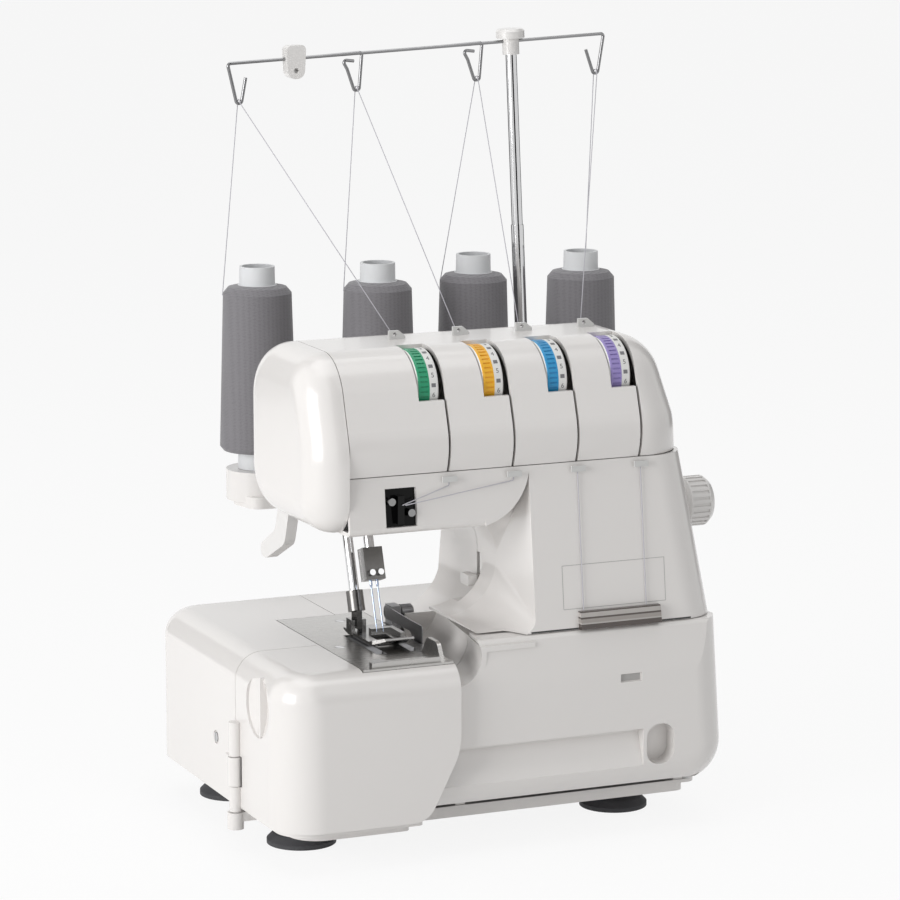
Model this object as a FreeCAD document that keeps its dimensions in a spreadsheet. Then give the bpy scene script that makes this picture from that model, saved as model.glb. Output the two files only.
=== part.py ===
import FreeCAD, Part
import math
import os
import re
import Sketcher

# A household overlock machine: a hollow bed with a swing cover and a looper
# cover, a column and arm, needles, presser foot, tension dials, four thread
# cones and a telescopic thread guide. Millimetres, +Z up, +X towards the
# handwheel, -Y towards the person sewing. The origin is on the table, under
# the middle of the machine.

V = FreeCAD.Vector
doc = FreeCAD.newDocument("overlock")
sheet = doc.addObject("Spreadsheet::Sheet", "Sizes")

SIZES = [
    # bed
    ("base_left", 146), ("base_right", 138.6), ("base_front", 120), ("base_back", 99),
    ("base_low", 24), ("base_top", 114), ("casing_wall", 2.5), ("seam_gap", 0.5),
    ("corner_round", 25), ("edge_round", 16),
    # tray and feet
    ("tray_low", 16.5), ("flange_thick", 2), ("flange_inset", 3.5), ("tray_inset", 14),
    ("foot_radius", 20.2), ("foot_left", 108), ("foot_right", 92), ("foot_front", 48),
    ("foot_rear", 66),
    # swing cover
    ("swing_right", 38.4), ("swing_back", 43), ("hinge_left", 148), ("hinge_front", 47),
    ("knuckle_radius", 3.6), ("pin_radius", 1.6), ("grip_front", 79), ("grip_height", 91),
    ("grip_radius", 18), ("grip_depth", 5),
    # needle plate
    ("plate_left", 94), ("plate_right", 38.8), ("plate_front", 110), ("plate_back", 26),
    ("plate_thick", 2.4),
    # looper cover
    ("cover_front", 113), ("cover_lip", 110.4), ("cover_top", 124.5), ("cover_wrap", 87), ("cover_round", 20),
    ("channel_low", 40), ("channel_high", 64), ("channel_end", 80), ("channel_depth", 8.5),
    ("rod_front", 100), ("rod_height", 33), ("rod_radius", 2),
    ("bowl_radius", 30), ("bowl_front_radius", 16), ("bowl_rim", 121), ("bowl_split", 82),
    # column and arm
    ("column_left", 13), ("column_front_low", 109), ("column_front_high", 97.5),
    ("column_back_low", 37), ("column_right_low", 132), ("column_right_high", 117),
    ("column_corner", 24), ("arm_bottom", 188), ("arm_seam", 221), ("arm_top", 288.5),
    ("arm_back", 9), ("arm_end", 120), ("cap_seam", 98), ("cap_round", 20),
    ("bulge_front", 102.5), ("bulge_height", 236), ("bulge_round", 34), ("shoulder_front", 85),
    ("shoulder_round", 30), ("rear_round", 32), ("end_round", 27), ("top_right", 103),
    ("split_front", 25), ("throat_round", 28), ("flare_round", 30), ("front_flare", 31),
    ("scoop_back", 52), ("scoop_peak", 3.5), ("scoop_wide", 36), ("scoop_corner", 9),
    # tension units
    ("dial_radius", 21.5), ("dial_proud", 1), ("dial_wide", 13), ("dial_slot", 17),
    ("groove_first", 37), ("groove_pitch", 40), ("groove_wide", 1.6), ("stud_radius", 2.5),
    ("disc_radius", 9),
    # needle and presser
    ("needle_left", 58), ("needle_front", 49.3), ("needle_gap", 4), ("bar_lean", 19),
    ("bar_radius", 3), ("clamp_radius", 6), ("presser_left", 66), ("presser_front", 36.4),
    ("foot_sole", 115), ("foot_toe", 70), ("foot_heel", 20),
    # drive
    ("shaft_front", 56), ("shaft_height", 183), ("shaft_radius", 5), ("wheel_radius", 15),
    ("wheel_end", 148), ("pulley_radius", 27), ("motor_radius", 26), ("motor_rear", 42),
    ("motor_height", 70), ("motor_pulley_radius", 9), ("belt_thick", 2),
    # spools and thread guide
    ("rest_radius", 20), ("stand_top", 178.5), ("rest_top", 192.8), ("tube_top", 316),
    ("tube_low_radius", 12.6), ("tube_top_radius", 10.6), ("yarn_low", 204.3),
    ("yarn_top", 305), ("yarn_low_radius", 23.4), ("yarn_top_radius", 20.7),
    ("spool_pin_radius", 4), ("spool_rear", 97), ("spool_near", 84),
    ("pole_right", 98), ("pole_rear", 92), ("pole_lean", 2.47), ("pole_radius", 4),
    ("pole_inner_radius", 3.5), ("pole_step", 155), ("pole_top", 260), ("guide_height", 268),
    ("guide_wire", 1), ("thread_radius", 0.3), ("fit_gap", 0.15), ("clear_gap", 0.5),
]

for row, (alias, amount) in enumerate(SIZES, start=1):
    sheet.set("A%d" % row, str(amount))
    sheet.setAlias("A%d" % row, alias)
doc.recompute()

NAMES = [alias for alias, amount in SIZES]
VALUE = {alias: float(sheet.get(alias)) for alias in NAMES}
SPOOLS = ((-78, "spool_rear"), (-5, "spool_near"), (64, "spool_rear"), (131, "spool_near"))
NODES = []


def size(name):
    return VALUE[name]


def bound(text):
    """An expression on the sheet's cells."""
    def owned(found):
        word = found.group()
        return "Sizes." + word if word in NAMES else word
    return re.sub(r"[a-z_]+", owned, str(text))


def number(text):
    """What an expression on the sheet's cells comes to."""
    return float(sheet.evalExpression(str(text)))


# Helpers for sketched bodies.

def origin_plane(body, role):
    for feature in body.Origin.OriginFeatures:
        if feature.Role == role:
            return feature
    raise ValueError(role)


def tie(sketch, kind, axis, spot, text):
    """Hold one coordinate of a sketch point at the value of an expression."""
    if str(text) == "0":
        sketch.addConstraint(Sketcher.Constraint("PointOnObject", spot[0], spot[1], axis))
        return
    made = Sketcher.Constraint(kind, -1, 1, spot[0], spot[1], number(text))
    sketch.setExpression("Constraints[%d]" % sketch.addConstraint(made), bound(text))


def draw(body, role, polygons=(), circles=(), level="0"):
    """A fully tied sketch of polygons (u, v) and circles (u, v, radius)."""
    sketch = body.newObject("Sketcher::SketchObject", "Outline")
    sketch.AttachmentSupport = [(origin_plane(body, role), "")]
    sketch.MapMode = "FlatFace"
    if str(level) != "0":
        sketch.setExpression("AttachmentOffset.Base.z", bound(level))
    for corners in polygons:
        first = sketch.GeometryCount
        count = len(corners)
        spots = [V(number(u), number(v), 0) for u, v in corners]
        for i in range(count):
            sketch.addGeometry(Part.LineSegment(spots[i], spots[(i + 1) % count]))
        for i in range(count):
            after = first + (i + 1) % count
            sketch.addConstraint(Sketcher.Constraint("Coincident", first + i, 2, after, 1))
        for i, (u, v) in enumerate(corners):
            tie(sketch, "DistanceX", -2, (first + i, 1), u)
            tie(sketch, "DistanceY", -1, (first + i, 1), v)
    for u, v, radius in circles:
        spot = V(number(u), number(v), 0)
        ring = sketch.addGeometry(Part.Circle(spot, V(0, 0, 1), number(radius)))
        tie(sketch, "DistanceX", -2, (ring, 3), u)
        tie(sketch, "DistanceY", -1, (ring, 3), v)
        made = Sketcher.Constraint("Radius", ring, number(radius))
        sketch.setExpression("Constraints[%d]" % sketch.addConstraint(made), bound(radius))
    return sketch


def new_body(label, keep=True):
    body = doc.addObject("PartDesign::Body", label)
    body.Label = label
    if keep:
        NODES.append(body)
    return body


def pad(body, sketch, length, back=False):
    feature = body.newObject("PartDesign::Pad", "Pad")
    feature.Profile = sketch
    feature.setExpression("Length", bound(length))
    feature.Reversed = back
    return feature


def pocket(body, sketch, depth, back=False):
    feature = body.newObject("PartDesign::Pocket", "Pocket")
    feature.Profile = sketch
    feature.setExpression("Length", bound(depth))
    feature.Reversed = back
    return feature


def around(body, feature, count):
    pattern = body.newObject("PartDesign::PolarPattern", "Around")
    pattern.Originals = [feature]
    pattern.Axis = (origin_plane(body, "Z_Axis"), [""])
    pattern.Angle = 360
    pattern.Occurrences = count
    body.Tip = pattern


def place(body, at, turn=None):
    if turn is not None:
        body.Placement = FreeCAD.Placement(V(0, 0, 0), turn)
    for axis, text in zip("xyz", at):
        if str(text) != "0":
            body.setExpression("Placement.Base." + axis, bound(text))


TO_RIGHT = FreeCAD.Rotation(V(0, 1, 0), 90)
TO_BACK = FreeCAD.Rotation(V(1, 0, 0), -90)
LEANED = FreeCAD.Rotation(V(1, 0, 0), -size("bar_lean"))
POLE_LEAN = FreeCAD.Rotation(V(0, 1, 0), -size("pole_lean"))


def turned(label, profile, at=("0", "0", "0"), turn=None, keep=True):
    """A body turned about its own Z axis from a profile of (radius, height)."""
    body = new_body(label, keep)
    sketch = draw(body, "XZ_Plane", [profile])
    feature = body.newObject("PartDesign::Revolution", "Turned")
    feature.Profile = sketch
    feature.ReferenceAxis = (sketch, ["V_Axis"])
    feature.Angle = 360
    place(body, at, turn)
    return body


def plain(label, shape):
    """A sub-part whose shape is made directly."""
    feature = doc.addObject("Part::Feature", label)
    feature.Label = label
    feature.Shape = shape
    NODES.append(feature)
    return feature


def copies(label, template, spots, turn=None):
    """Copies of one body's shape, one solid for each spot."""
    doc.recompute()
    solids = []
    for spot in spots:
        solid = template.Shape.copy()
        solid.Placement = FreeCAD.Placement(V(*spot), turn or FreeCAD.Rotation())
        solids.append(solid)
    return plain(label, Part.makeCompound(solids))


# Helpers for shapes made directly.

def box(x0, x1, y0, y1, z0, z1):
    return Part.makeBox(x1 - x0, y1 - y0, z1 - z0, V(x0, y0, z0))


def rod(start, end, radius):
    start, end = V(*start), V(*end)
    return Part.makeCylinder(radius, (end - start).Length, start, end - start)


def corner_arc(before, spot, after, radius):
    """Start, middle and end of the round at a corner."""
    left = (before - spot).normalize()
    right = (after - spot).normalize()
    half = math.acos(max(-1, min(1, left.dot(right)))) / 2
    middle = (left + right).normalize()
    reach = radius / math.tan(half)
    bow = radius / math.sin(half) - radius
    return spot + left * reach, spot + middle * bow, spot + right * reach


def outline(points, lift):
    """A closed wire through (u, v, round); lift puts (u, v) in space."""
    count = len(points)
    flat = [V(u, v, 0) for u, v, r in points]
    arcs = []
    for i, (u, v, r) in enumerate(points):
        if r > 0:
            arcs.append(corner_arc(flat[i - 1], flat[i], flat[(i + 1) % count], r))
        else:
            arcs.append((flat[i], flat[i], flat[i]))
    edges = []
    for i in range(count):
        start, middle, end = arcs[i]
        if points[i][2] > 0:
            edges.append(Part.Arc(lift(start), lift(middle), lift(end)).toShape())
        after = arcs[(i + 1) % count][0]
        if (after - end).Length > 1e-6:
            edges.append(Part.LineSegment(lift(end), lift(after)).toShape())
    return Part.Wire(edges)


def inset(points, depth):
    """The outline drawn in by depth: outer rounds shrink, inner rounds grow."""
    count = len(points)
    spots = [V(u, v, 0) for u, v, r in points]
    area = sum(spots[i].x * spots[(i + 1) % count].y - spots[(i + 1) % count].x * spots[i].y
               for i in range(count))
    turn = 1 if area > 0 else -1
    ways = [(spots[(i + 1) % count] - spots[i]).normalize() for i in range(count)]
    result = []
    for i in range(count):
        a, b = ways[i - 1], ways[i]
        bend = a.x * b.y - a.y * b.x
        start = spots[i] + V(-a.y, a.x, 0) * (turn * depth)
        other = spots[i] + V(-b.y, b.x, 0) * (turn * depth)
        along = ((other.x - start.x) * b.y - (other.y - start.y) * b.x) / bend
        spot = start + a * along
        r = points[i][2]
        if r > 0:
            r = max(r - depth, 0.5) if turn * bend > 0 else r + depth
        result.append((spot.x, spot.y, r))
    return result


def prism_x(points, x0, x1):
    wire = outline(points, lambda p: V(x0, p.x, p.y))
    return Part.Face(wire).extrude(V(x1 - x0, 0, 0))


def prism_y(points, y0, y1):
    wire = outline(points, lambda p: V(p.x, y0, p.y))
    return Part.Face(wire).extrude(V(0, y1 - y0, 0))


def prism_z(points, z0, z1):
    wire = outline(points, lambda p: V(p.x, p.y, z0))
    return Part.Face(wire).extrude(V(0, 0, z1 - z0))


def rounded(shape, radius, chosen):
    edges = [edge for edge in shape.Edges if chosen(edge)]
    return shape.makeFillet(radius, edges)


def bent_wire(points, radius, bend):
    """A round wire along straight runs joined by arcs of one bend radius."""
    spots = [V(*p) for p in points]
    edges = []
    last = spots[0]
    for before, spot, after in zip(spots, spots[1:], spots[2:]):
        start, middle, end = corner_arc(before, spot, after, bend)
        if (start - last).Length > 1e-6:
            edges.append(Part.LineSegment(last, start).toShape())
        edges.append(Part.Arc(start, middle, end).toShape())
        last = end
    edges.append(Part.LineSegment(last, spots[-1]).toShape())
    path = Part.Wire(edges)
    ring = Part.makeCircle(radius, spots[0], spots[1] - spots[0])
    return path.makePipeShell([Part.Wire([ring])], True, True)


def one_solid(shape):
    """The largest solid of a shape."""
    return max(shape.Solids, key=lambda solid: solid.Volume)


WALL = size("casing_wall")
GAP = size("seam_gap")
FIT = size("fit_gap")
CLEAR = size("clear_gap")
HALF = GAP / 2
FAR = 400
LEFT = -size("base_left")
FRONT = -size("base_front")
BACK = size("base_back")
LOW = size("base_low")
TOP = size("base_top")
SPLIT = -size("split_front")
SEAM = size("arm_seam")
UNDER = size("arm_bottom")
ARM_TOP = size("arm_top")
ARM_BACK = size("arm_back")
CAP = -size("cap_seam")
COLUMN = size("column_left")
SWING_END = -size("swing_right")
SWING_BACK = -size("swing_back")
HINGE = (-size("hinge_left"), -size("hinge_front"))
PLATE_LEFT = -size("plate_left")
PLATE_RIGHT = -size("plate_right")
PLATE_FRONT = -size("plate_front")
PLATE_BACK = size("plate_back")
PLATE_LOW = TOP - size("plate_thick")
COVER_LOW = LOW + CLEAR + 0.1


def column_front(z):
    """How far forward the column's front face is at a height."""
    low, high = size("cover_top"), SEAM
    share = (z - low) / (high - low)
    return -size("column_front_low") + share * (size("column_front_low") - size("column_front_high"))


def column_right(z):
    low, high = size("cover_top"), SEAM
    share = (z - low) / (high - low)
    return size("column_right_low") + share * (size("column_right_high") - size("column_right_low"))


def column_back(z):
    share = (z - TOP) / (ARM_TOP - TOP)
    return size("column_back_low") + share * (ARM_BACK - 3 - size("column_back_low"))


# Bed: the left block is shared by the swing cover and the bed casing.

def left_block(depth):
    low = LOW if depth == 0 else LOW - 20
    block = box(LEFT + depth, 20, FRONT + depth, BACK - depth, low, TOP - depth)
    corner = size("corner_round") - depth
    upright = rounded(block, corner, lambda e: abs(e.CenterOfMass.x - LEFT - depth) < 1e-6
                      and e.BoundBox.XLength + e.BoundBox.YLength < 1e-6)
    top_round = size("edge_round") - depth
    return rounded(upright, top_round, lambda e: e.CenterOfMass.z > TOP - depth - 1e-6
                   and e.CenterOfMass.x < 19)


left_outer = left_block(0)
left_inner = left_block(WALL)
left_shell = left_outer.cut(left_inner)
plate_well = box(PLATE_LEFT - CLEAR, 60, PLATE_FRONT - CLEAR, PLATE_BACK + CLEAR, TOP - 7, TOP + 20)

SEAM_LEFT = -57
bed = left_shell.common(box(LEFT - 5, SEAM_LEFT - HALF, SWING_BACK + HALF, FAR, 0, FAR))
bed = bed.cut(plate_well)
KNUCKLE_LOW, KNUCKLE_HIGH = 37.6, 54.6
KNUCKLE = size("knuckle_radius")
bed_knuckle = rod((HINGE[0], HINGE[1], KNUCKLE_LOW), (HINGE[0], HINGE[1], KNUCKLE_HIGH), KNUCKLE + 0.7)
bed_tab = box(HINGE[0] - 2.5, LEFT + WALL, HINGE[1], SWING_BACK + 6, KNUCKLE_LOW, KNUCKLE_HIGH)
bed = bed.fuse([bed_knuckle, bed_tab])
hinge_bore = rod((HINGE[0], HINGE[1], 0), (HINGE[0], HINGE[1], 90), size("pin_radius"))
bed = bed.cut(hinge_bore)
SIDE_SCREW = (LEFT, -10, 57)
screw_seat = rod((LEFT - 5, SIDE_SCREW[1], SIDE_SCREW[2]), (LEFT + 1, SIDE_SCREW[1], SIDE_SCREW[2]), 4)
screw_hole = rod((LEFT - 5, SIDE_SCREW[1], SIDE_SCREW[2]), (LEFT + 9, SIDE_SCREW[1], SIDE_SCREW[2]), 1.6)
bed = bed.cut(screw_seat.fuse(screw_hole))
plain("bed_casing", one_solid(bed))

# Swing cover: hinged on the left, cut away for the needle plate.
SWING_FOOT, SWING_BEND = SWING_END - 20.1, 64
swing_view = [(LEFT - 20, COVER_LOW, 0), (SWING_FOOT, COVER_LOW, 14), (SWING_END, SWING_BEND, 40),
              (SWING_END, FAR, 0), (LEFT - 20, FAR, 0)]
swing_void = left_inner.cut(box(SWING_END - WALL, 60, FRONT, FRONT + 15, 0, FAR))
swing = left_outer.cut(swing_void)
swing = swing.common(prism_y(swing_view, FRONT - 10, SWING_BACK - HALF))
swing = swing.cut(plate_well)
GRIP = (-size("grip_front"), size("grip_height"))
grip_floor = LEFT + size("grip_depth")
grip_backing = rod((LEFT, *GRIP), (grip_floor + WALL, *GRIP), size("grip_radius") + WALL)
swing = swing.fuse(grip_backing.common(left_outer))
grip_cut = Part.makeSphere(48, V(grip_floor - 48, GRIP[0], GRIP[1]))
grip_cut = grip_cut.common(rod((LEFT - 10, *GRIP), (LEFT + 20, *GRIP), size("grip_radius")))
swing = swing.cut(grip_cut)
grip_ridge = box(LEFT + 0.6, grip_floor + 0.5, GRIP[0] - 3, GRIP[0] - 0.6, GRIP[1] - 17, GRIP[1] + 17)
swing = swing.fuse(grip_ridge)
notch = box(LEFT - 9, LEFT + 6, HINGE[1] - KNUCKLE - 2, 0, KNUCKLE_LOW - CLEAR, KNUCKLE_HIGH + CLEAR)
swing = swing.cut(notch)
for low, high in ((22.3, KNUCKLE_LOW - CLEAR), (KNUCKLE_HIGH + CLEAR, 75)):
    barrel = rod((HINGE[0], HINGE[1], low), (HINGE[0], HINGE[1], high), KNUCKLE)
    web = box(HINGE[0], LEFT + WALL, HINGE[1] - 3, HINGE[1] + 2.5, max(low, COVER_LOW), high)
    swing = swing.fuse([barrel, web])
swing = swing.cut(rod((HINGE[0], HINGE[1], 0), (HINGE[0], HINGE[1], 73), size("pin_radius") + FIT))
plain("swing_cover", one_solid(swing))

# Column and arm: three zones across the machine share one front view.

def arm_view(depth):
    points = [(CAP - 30, UNDER, 0), (COLUMN, UNDER, size("throat_round")), (COLUMN, 60, 0),
              (column_right(60), 60, 0), (column_right(SEAM + 20), SEAM + 20, 0),
              (CAP - 30, SEAM + 20, 0)]
    return inset(points, depth) if depth else points


def arm_zones(depth):
    front = [(column_front(60), 60, 0), (column_front(SEAM + 20), SEAM + 20, 0)]
    head = [(column_front(UNDER), UNDER, 4), (column_front(SEAM + 20), SEAM + 20, 0),
            (ARM_BACK, SEAM + 20, 0), (ARM_BACK, UNDER, 30)]
    throat = front + [(ARM_BACK, SEAM + 20, 0), (ARM_BACK, 60, 0)]
    column = front + [(column_back(SEAM + 20), SEAM + 20, 0), (column_back(60), 60, 0)]
    meet = -size("throat_round") + COLUMN
    zones = ((head, CAP, meet), (throat, meet, COLUMN + depth), (column, COLUMN + depth, 150))
    solids = []
    for side, start, end in zones:
        solids.append(prism_x(inset(side, depth) if depth else side, start, end))
    whole = solids[0].fuse(solids[1:]).common(prism_y(arm_view(depth), -FAR, FAR))
    whole = whole.common(box(CAP, 200, -FAR, FAR, 60 + depth, SEAM + 15))
    corner = size("column_corner") - depth
    return rounded(whole.removeSplitter(), corner, lambda e: e.CenterOfMass.x > 90
                   and e.BoundBox.ZLength > 100)


arm_outer = arm_zones(0)
arm_inner = arm_zones(WALL)

NEEDLE_SLOT = box(-80, -48, -48, 5, UNDER - 10, UNDER + 14)
BOWL_BACK = -17
bowl_start = V(SWING_END, BOWL_BACK, size("bowl_rim") + 7)
bowl_end = V(SWING_END, -size("cover_front"), size("bowl_rim") - 6)


def bowl_cone(extra):
    """The round, widening hollow of the bowl, from its back wall to past the front."""
    way = (bowl_end - bowl_start).normalize()
    length = (bowl_end - bowl_start).Length
    wide, narrow = size("bowl_radius"), size("bowl_front_radius")
    reach = 1.1
    end_radius = wide + (narrow - wide) * reach + extra
    return Part.makeCone(wide + extra, end_radius, length * reach, bowl_start, way)


bowl = bowl_cone(0)
SHAFT = (-size("shaft_front"), size("shaft_height"))
shaft_hole = rod((80, *SHAFT), (200, *SHAFT), size("shaft_radius") + 1.5)

# Rear casing: the right rear of the bed, the back of the column and arm.
WRAP = -size("cover_wrap")


def right_block(depth):
    right_top = column_right(TOP)
    lean = (size("base_right") - right_top) / (TOP - LOW)
    view = [(SEAM_LEFT + HALF, LOW, 0), (size("base_right"), LOW, size("corner_round")),
            (right_top, TOP, 0), (SEAM_LEFT + HALF, TOP, 0)]
    tall = [(SEAM_LEFT + HALF, LOW - 80, 0), (size("base_right") + 80 * lean, LOW - 80, 0), *view[2:]]
    if depth:
        left_low, right_low, right_high, left_high = inset(view, depth)
        opening = size("base_right") - size("corner_round") - 3
        view = [(left_low[0] - 20, LOW - 20, 0), (opening, LOW - 20, 0), (opening, right_low[1], 0),
                right_low, right_high, (left_high[0] - 20, left_high[1], 0)]
        tall = [(left_low[0] - 20, LOW - 80, 0), inset(tall, depth)[1], right_high, view[-1]]
    start = WRAP + 1.5 if not depth else -FAR
    block = prism_y(tall, start, BACK - depth)
    corner = size("corner_round") - depth
    block = rounded(block, corner, lambda e: e.CenterOfMass.y > BACK - depth - 1e-6
                    and e.CenterOfMass.x > 120 and e.BoundBox.ZLength > 40)
    block = rounded(block, size("edge_round") - depth, lambda e: e.CenterOfMass.z > TOP - depth - 1e-6
                    and (e.CenterOfMass.y > 0 and e.CenterOfMass.x > -50))
    return block.common(prism_y(view, start, BACK - depth))


rear_arm = arm_outer.common(box(-FAR, FAR, SPLIT + HALF, FAR, 60, SEAM - HALF))
rear_side = arm_outer.common(box(90, FAR, WRAP + 1.5, SPLIT + 1, 60, size("cover_top")))
flare_points = [(COLUMN + 3, TOP - 2, 0), (COLUMN + 3, TOP + size("flare_round"), 0),
                (COLUMN, TOP + size("flare_round"), 0), (COLUMN, TOP, size("flare_round") - 0.01),
                (COLUMN - size("flare_round"), TOP, 0), (COLUMN - size("flare_round"), TOP - 2, 0)]
flare = prism_y(flare_points, SPLIT + HALF, column_back(TOP + 20) - 3)
rear = right_block(0).fuse([rear_arm, rear_side, flare])
rear = rear.cut(right_block(WALL).fuse(arm_inner))
rear = rear.cut(box(SEAM_LEFT - 5, FAR, -FAR, SPLIT + HALF, size("cover_top"), FAR))
rear = rear.cut(box(SEAM_LEFT - 5, column_right(TOP) - 20, -FAR, SPLIT + HALF, TOP - 30, FAR))
rear = rear.cut(box(PLATE_LEFT - CLEAR, PLATE_RIGHT + CLEAR, PLATE_FRONT, PLATE_BACK + CLEAR, TOP - 7, TOP + 20))
CHUTE_RIGHT = COLUMN - CLEAR
chute_room = (TOP - 20, size("bowl_rim") + CLEAR)
rear = rear.cut(box(SEAM_LEFT - 5, CHUTE_RIGHT - 5, SPLIT - 1, BOWL_BACK + 3 + CLEAR, *chute_room))
rear = rear.cut(box(PLATE_RIGHT - 5, -29.5, SPLIT - 1, -3, TOP - 20, TOP + 2))
rear = rear.cut(NEEDLE_SLOT)
rear = rear.cut(shaft_hole)
INLET = (26, 54, 40, 62)
SWITCH = (-22, 0, 42, 60)
for y0, y1, z0, z1 in (INLET, SWITCH):
    rear = rear.cut(box(110, 160, y0 - FIT, y1 + FIT, z0 - FIT, z1 + FIT))
plain("rear_casing", one_solid(rear))

# Front casing: the front of the column and the lower front of the arm.
LEVER_SLOT = (-29, 131, 157)
FLARE = size("front_flare")
skirt = size("cover_top") + GAP
TOE = 1.5


def throat_wire(spots, place):
    """The throat's outline: along the arm, round into the column and round again to its toe."""
    points = [place(x, z) for x, z in spots]
    arm_end, arm_bend, arm_middle, wall_high, wall_low, toe_middle, toe, toe_end = points
    edges = [Part.LineSegment(arm_end, arm_bend), Part.Arc(arm_bend, arm_middle, wall_high),
             Part.LineSegment(wall_high, wall_low), Part.Arc(wall_low, toe_middle, toe),
             Part.LineSegment(toe, toe_end), Part.LineSegment(toe_end, arm_end)]
    return Part.Wire([edge.toShape() for edge in edges])


def scoop(extra):
    """The throat's hollow in the front casing: it widens to a peak at the front face."""
    bend, wall = size("throat_round"), COLUMN + extra
    slant = math.sqrt(0.5)
    left = COLUMN - 60
    rear = [(left, UNDER + extra), (COLUMN - bend, UNDER + extra),
            (COLUMN - bend + (bend + extra) * slant, UNDER - bend + (bend + extra) * slant),
            (wall, UNDER - bend), (wall, skirt + TOE + FLARE),
            (COLUMN - FLARE + (FLARE + extra) * slant, skirt + TOE + FLARE - (FLARE + extra) * slant),
            (COLUMN - FLARE, skirt + TOE - extra), (left, skirt + TOE - extra)]
    peak, corner = SEAM - size("scoop_peak") + 2 * extra, size("scoop_corner")
    wide = size("scoop_wide")
    face = [(left, UNDER + extra), (COLUMN - wide, UNDER + extra),
            (COLUMN - wide * 0.28 - extra, UNDER + (peak - UNDER) * 0.36 + extra), (wall, peak),
            (wall, skirt + corner), (wall - corner * (1 - slant), skirt + corner * (1 - slant) - 0.5),
            (wall - corner, skirt - 0.5), (left, skirt - 0.5)]
    rear_wire = throat_wire(rear, lambda x, z: V(x, -size("scoop_back"), z))
    face_wire = throat_wire(face, lambda x, z: V(x, column_front(z) - 0.5, z))
    return Part.makeLoft([face_wire, rear_wire], True, True)


front = arm_outer.common(box(-FAR, FAR, -FAR, SPLIT - HALF, skirt, SEAM - HALF)).cut(scoop(0))
front = front.cut(arm_inner.cut(scoop(WALL))).cut(NEEDLE_SLOT).cut(shaft_hole)
front = front.cut(box(0, COLUMN + 6, LEVER_SLOT[0], SPLIT, LEVER_SLOT[1], LEVER_SLOT[2]))
TAKE_UP = (-76, -57, 192, 214)
front = front.cut(box(TAKE_UP[0], TAKE_UP[1], -120, -80, TAKE_UP[2], TAKE_UP[3]))
skirt_points = [(COLUMN + 2, skirt, 0), (COLUMN + 2, skirt + FLARE + 1.5, 0), (COLUMN, skirt + FLARE + 1.5, 0),
                (COLUMN, skirt + 1.5, FLARE - 0.01), (COLUMN - FLARE, skirt + 1.5, 0), (COLUMN - FLARE, skirt, 0)]
skirt_side = [(column_front(skirt), skirt, 0), (column_front(SEAM), SEAM, 0), (SPLIT - HALF, SEAM, 0), (SPLIT - HALF, skirt, 0)]
front_flare = prism_y(skirt_points, -FAR, FAR).common(prism_x(skirt_side, -60, 60))
front = front.fuse(front_flare.cut(scoop(0)))
front = front.cut(box(-5, COLUMN, LEVER_SLOT[0] - 6, SPLIT, LEVER_SLOT[1] - 1, LEVER_SLOT[2] + 4))
front = front.cut(box(0, COLUMN + 6, LEVER_SLOT[0], SPLIT, LEVER_SLOT[1], LEVER_SLOT[2]))
plain("front_casing", one_solid(front))

# Tension cover: the top of the arm, with a slot for each dial and each thread.

def top_profile(low):
    slope = (column_front(SEAM) + size("bulge_front")) / (size("bulge_height") - SEAM)
    foot = -size("bulge_front") + slope * (size("bulge_height") - low)
    return [(foot, low, 0), (-size("bulge_front"), size("bulge_height"), size("bulge_round")),
            (-size("shoulder_front"), ARM_TOP, size("shoulder_round")),
            (ARM_BACK, ARM_TOP, size("rear_round")), (ARM_BACK, low, 0)]


def top_block(depth):
    low = SEAM - 40
    side = inset(top_profile(low), depth) if depth else top_profile(low)
    block = prism_x(side, CAP - 10, 150)
    shift = depth * 1.02
    end = [(CAP - 20, low - 20, 0), (size("column_right_high") - shift + 8.4, low - 20 + 20, 0),
           (size("top_right") - shift, ARM_TOP, 0), (size("top_right") - shift - 2, FAR, 0),
           (CAP - 20, FAR, 0)]
    slope = (size("column_right_high") - size("top_right")) / (ARM_TOP - SEAM)
    end[1] = (size("column_right_high") - shift + slope * (SEAM - low), low, 0)
    end[3] = (size("top_right") - shift - slope * 50, ARM_TOP + 50, 0)
    end[4] = (CAP - 20, ARM_TOP + 50, 0)
    end[0] = (CAP - 20, low, 0)
    block = block.common(prism_y(end, -FAR, FAR))
    return rounded(block, size("end_round") - depth, lambda e: e.CenterOfMass.x > 60
                   and e.CenterOfMass.z > low + 1 and e.BoundBox.XLength < 40)


top_shell = top_block(0).cut(top_block(WALL))
top_shell = top_shell.common(box(CAP + HALF, FAR, -FAR, FAR, SEAM + HALF, FAR))
lean_slope = (size("bulge_front") - size("shoulder_front")) / (ARM_TOP - size("bulge_height"))
lean_turn = math.atan(lean_slope)
arc_z = ARM_TOP - size("shoulder_round")
arc_y = -size("bulge_front") + lean_slope * (arc_z - size("bulge_height")) + size("shoulder_round") / math.cos(lean_turn)
middle_turn = (math.pi / 2 + lean_turn) / 2
dial_shift = size("shoulder_round") + size("dial_proud") - size("dial_radius")
DIAL = (arc_y - dial_shift * math.cos(middle_turn), arc_z + dial_shift * math.sin(middle_turn))
slot_low = arc_z + size("shoulder_round") * math.sin(lean_turn) - 6.5
slot_back = arc_y + 4.5
GROOVES = [-size("groove_first") + size("groove_pitch") * i for i in range(4)]
for groove in GROOVES:
    left = groove + size("groove_wide") / 2 - size("dial_slot")
    slot = box(left, groove + size("groove_wide") / 2, -FAR, slot_back, slot_low, FAR)
    line = box(groove - size("groove_wide") / 2, groove + size("groove_wide") / 2, -FAR, -80, SEAM, slot_low + 1)
    top_shell = top_shell.cut(slot).cut(line)
plain("tension_cover", one_solid(top_shell))

# Face cover: the rounded left end of the arm.

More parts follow.
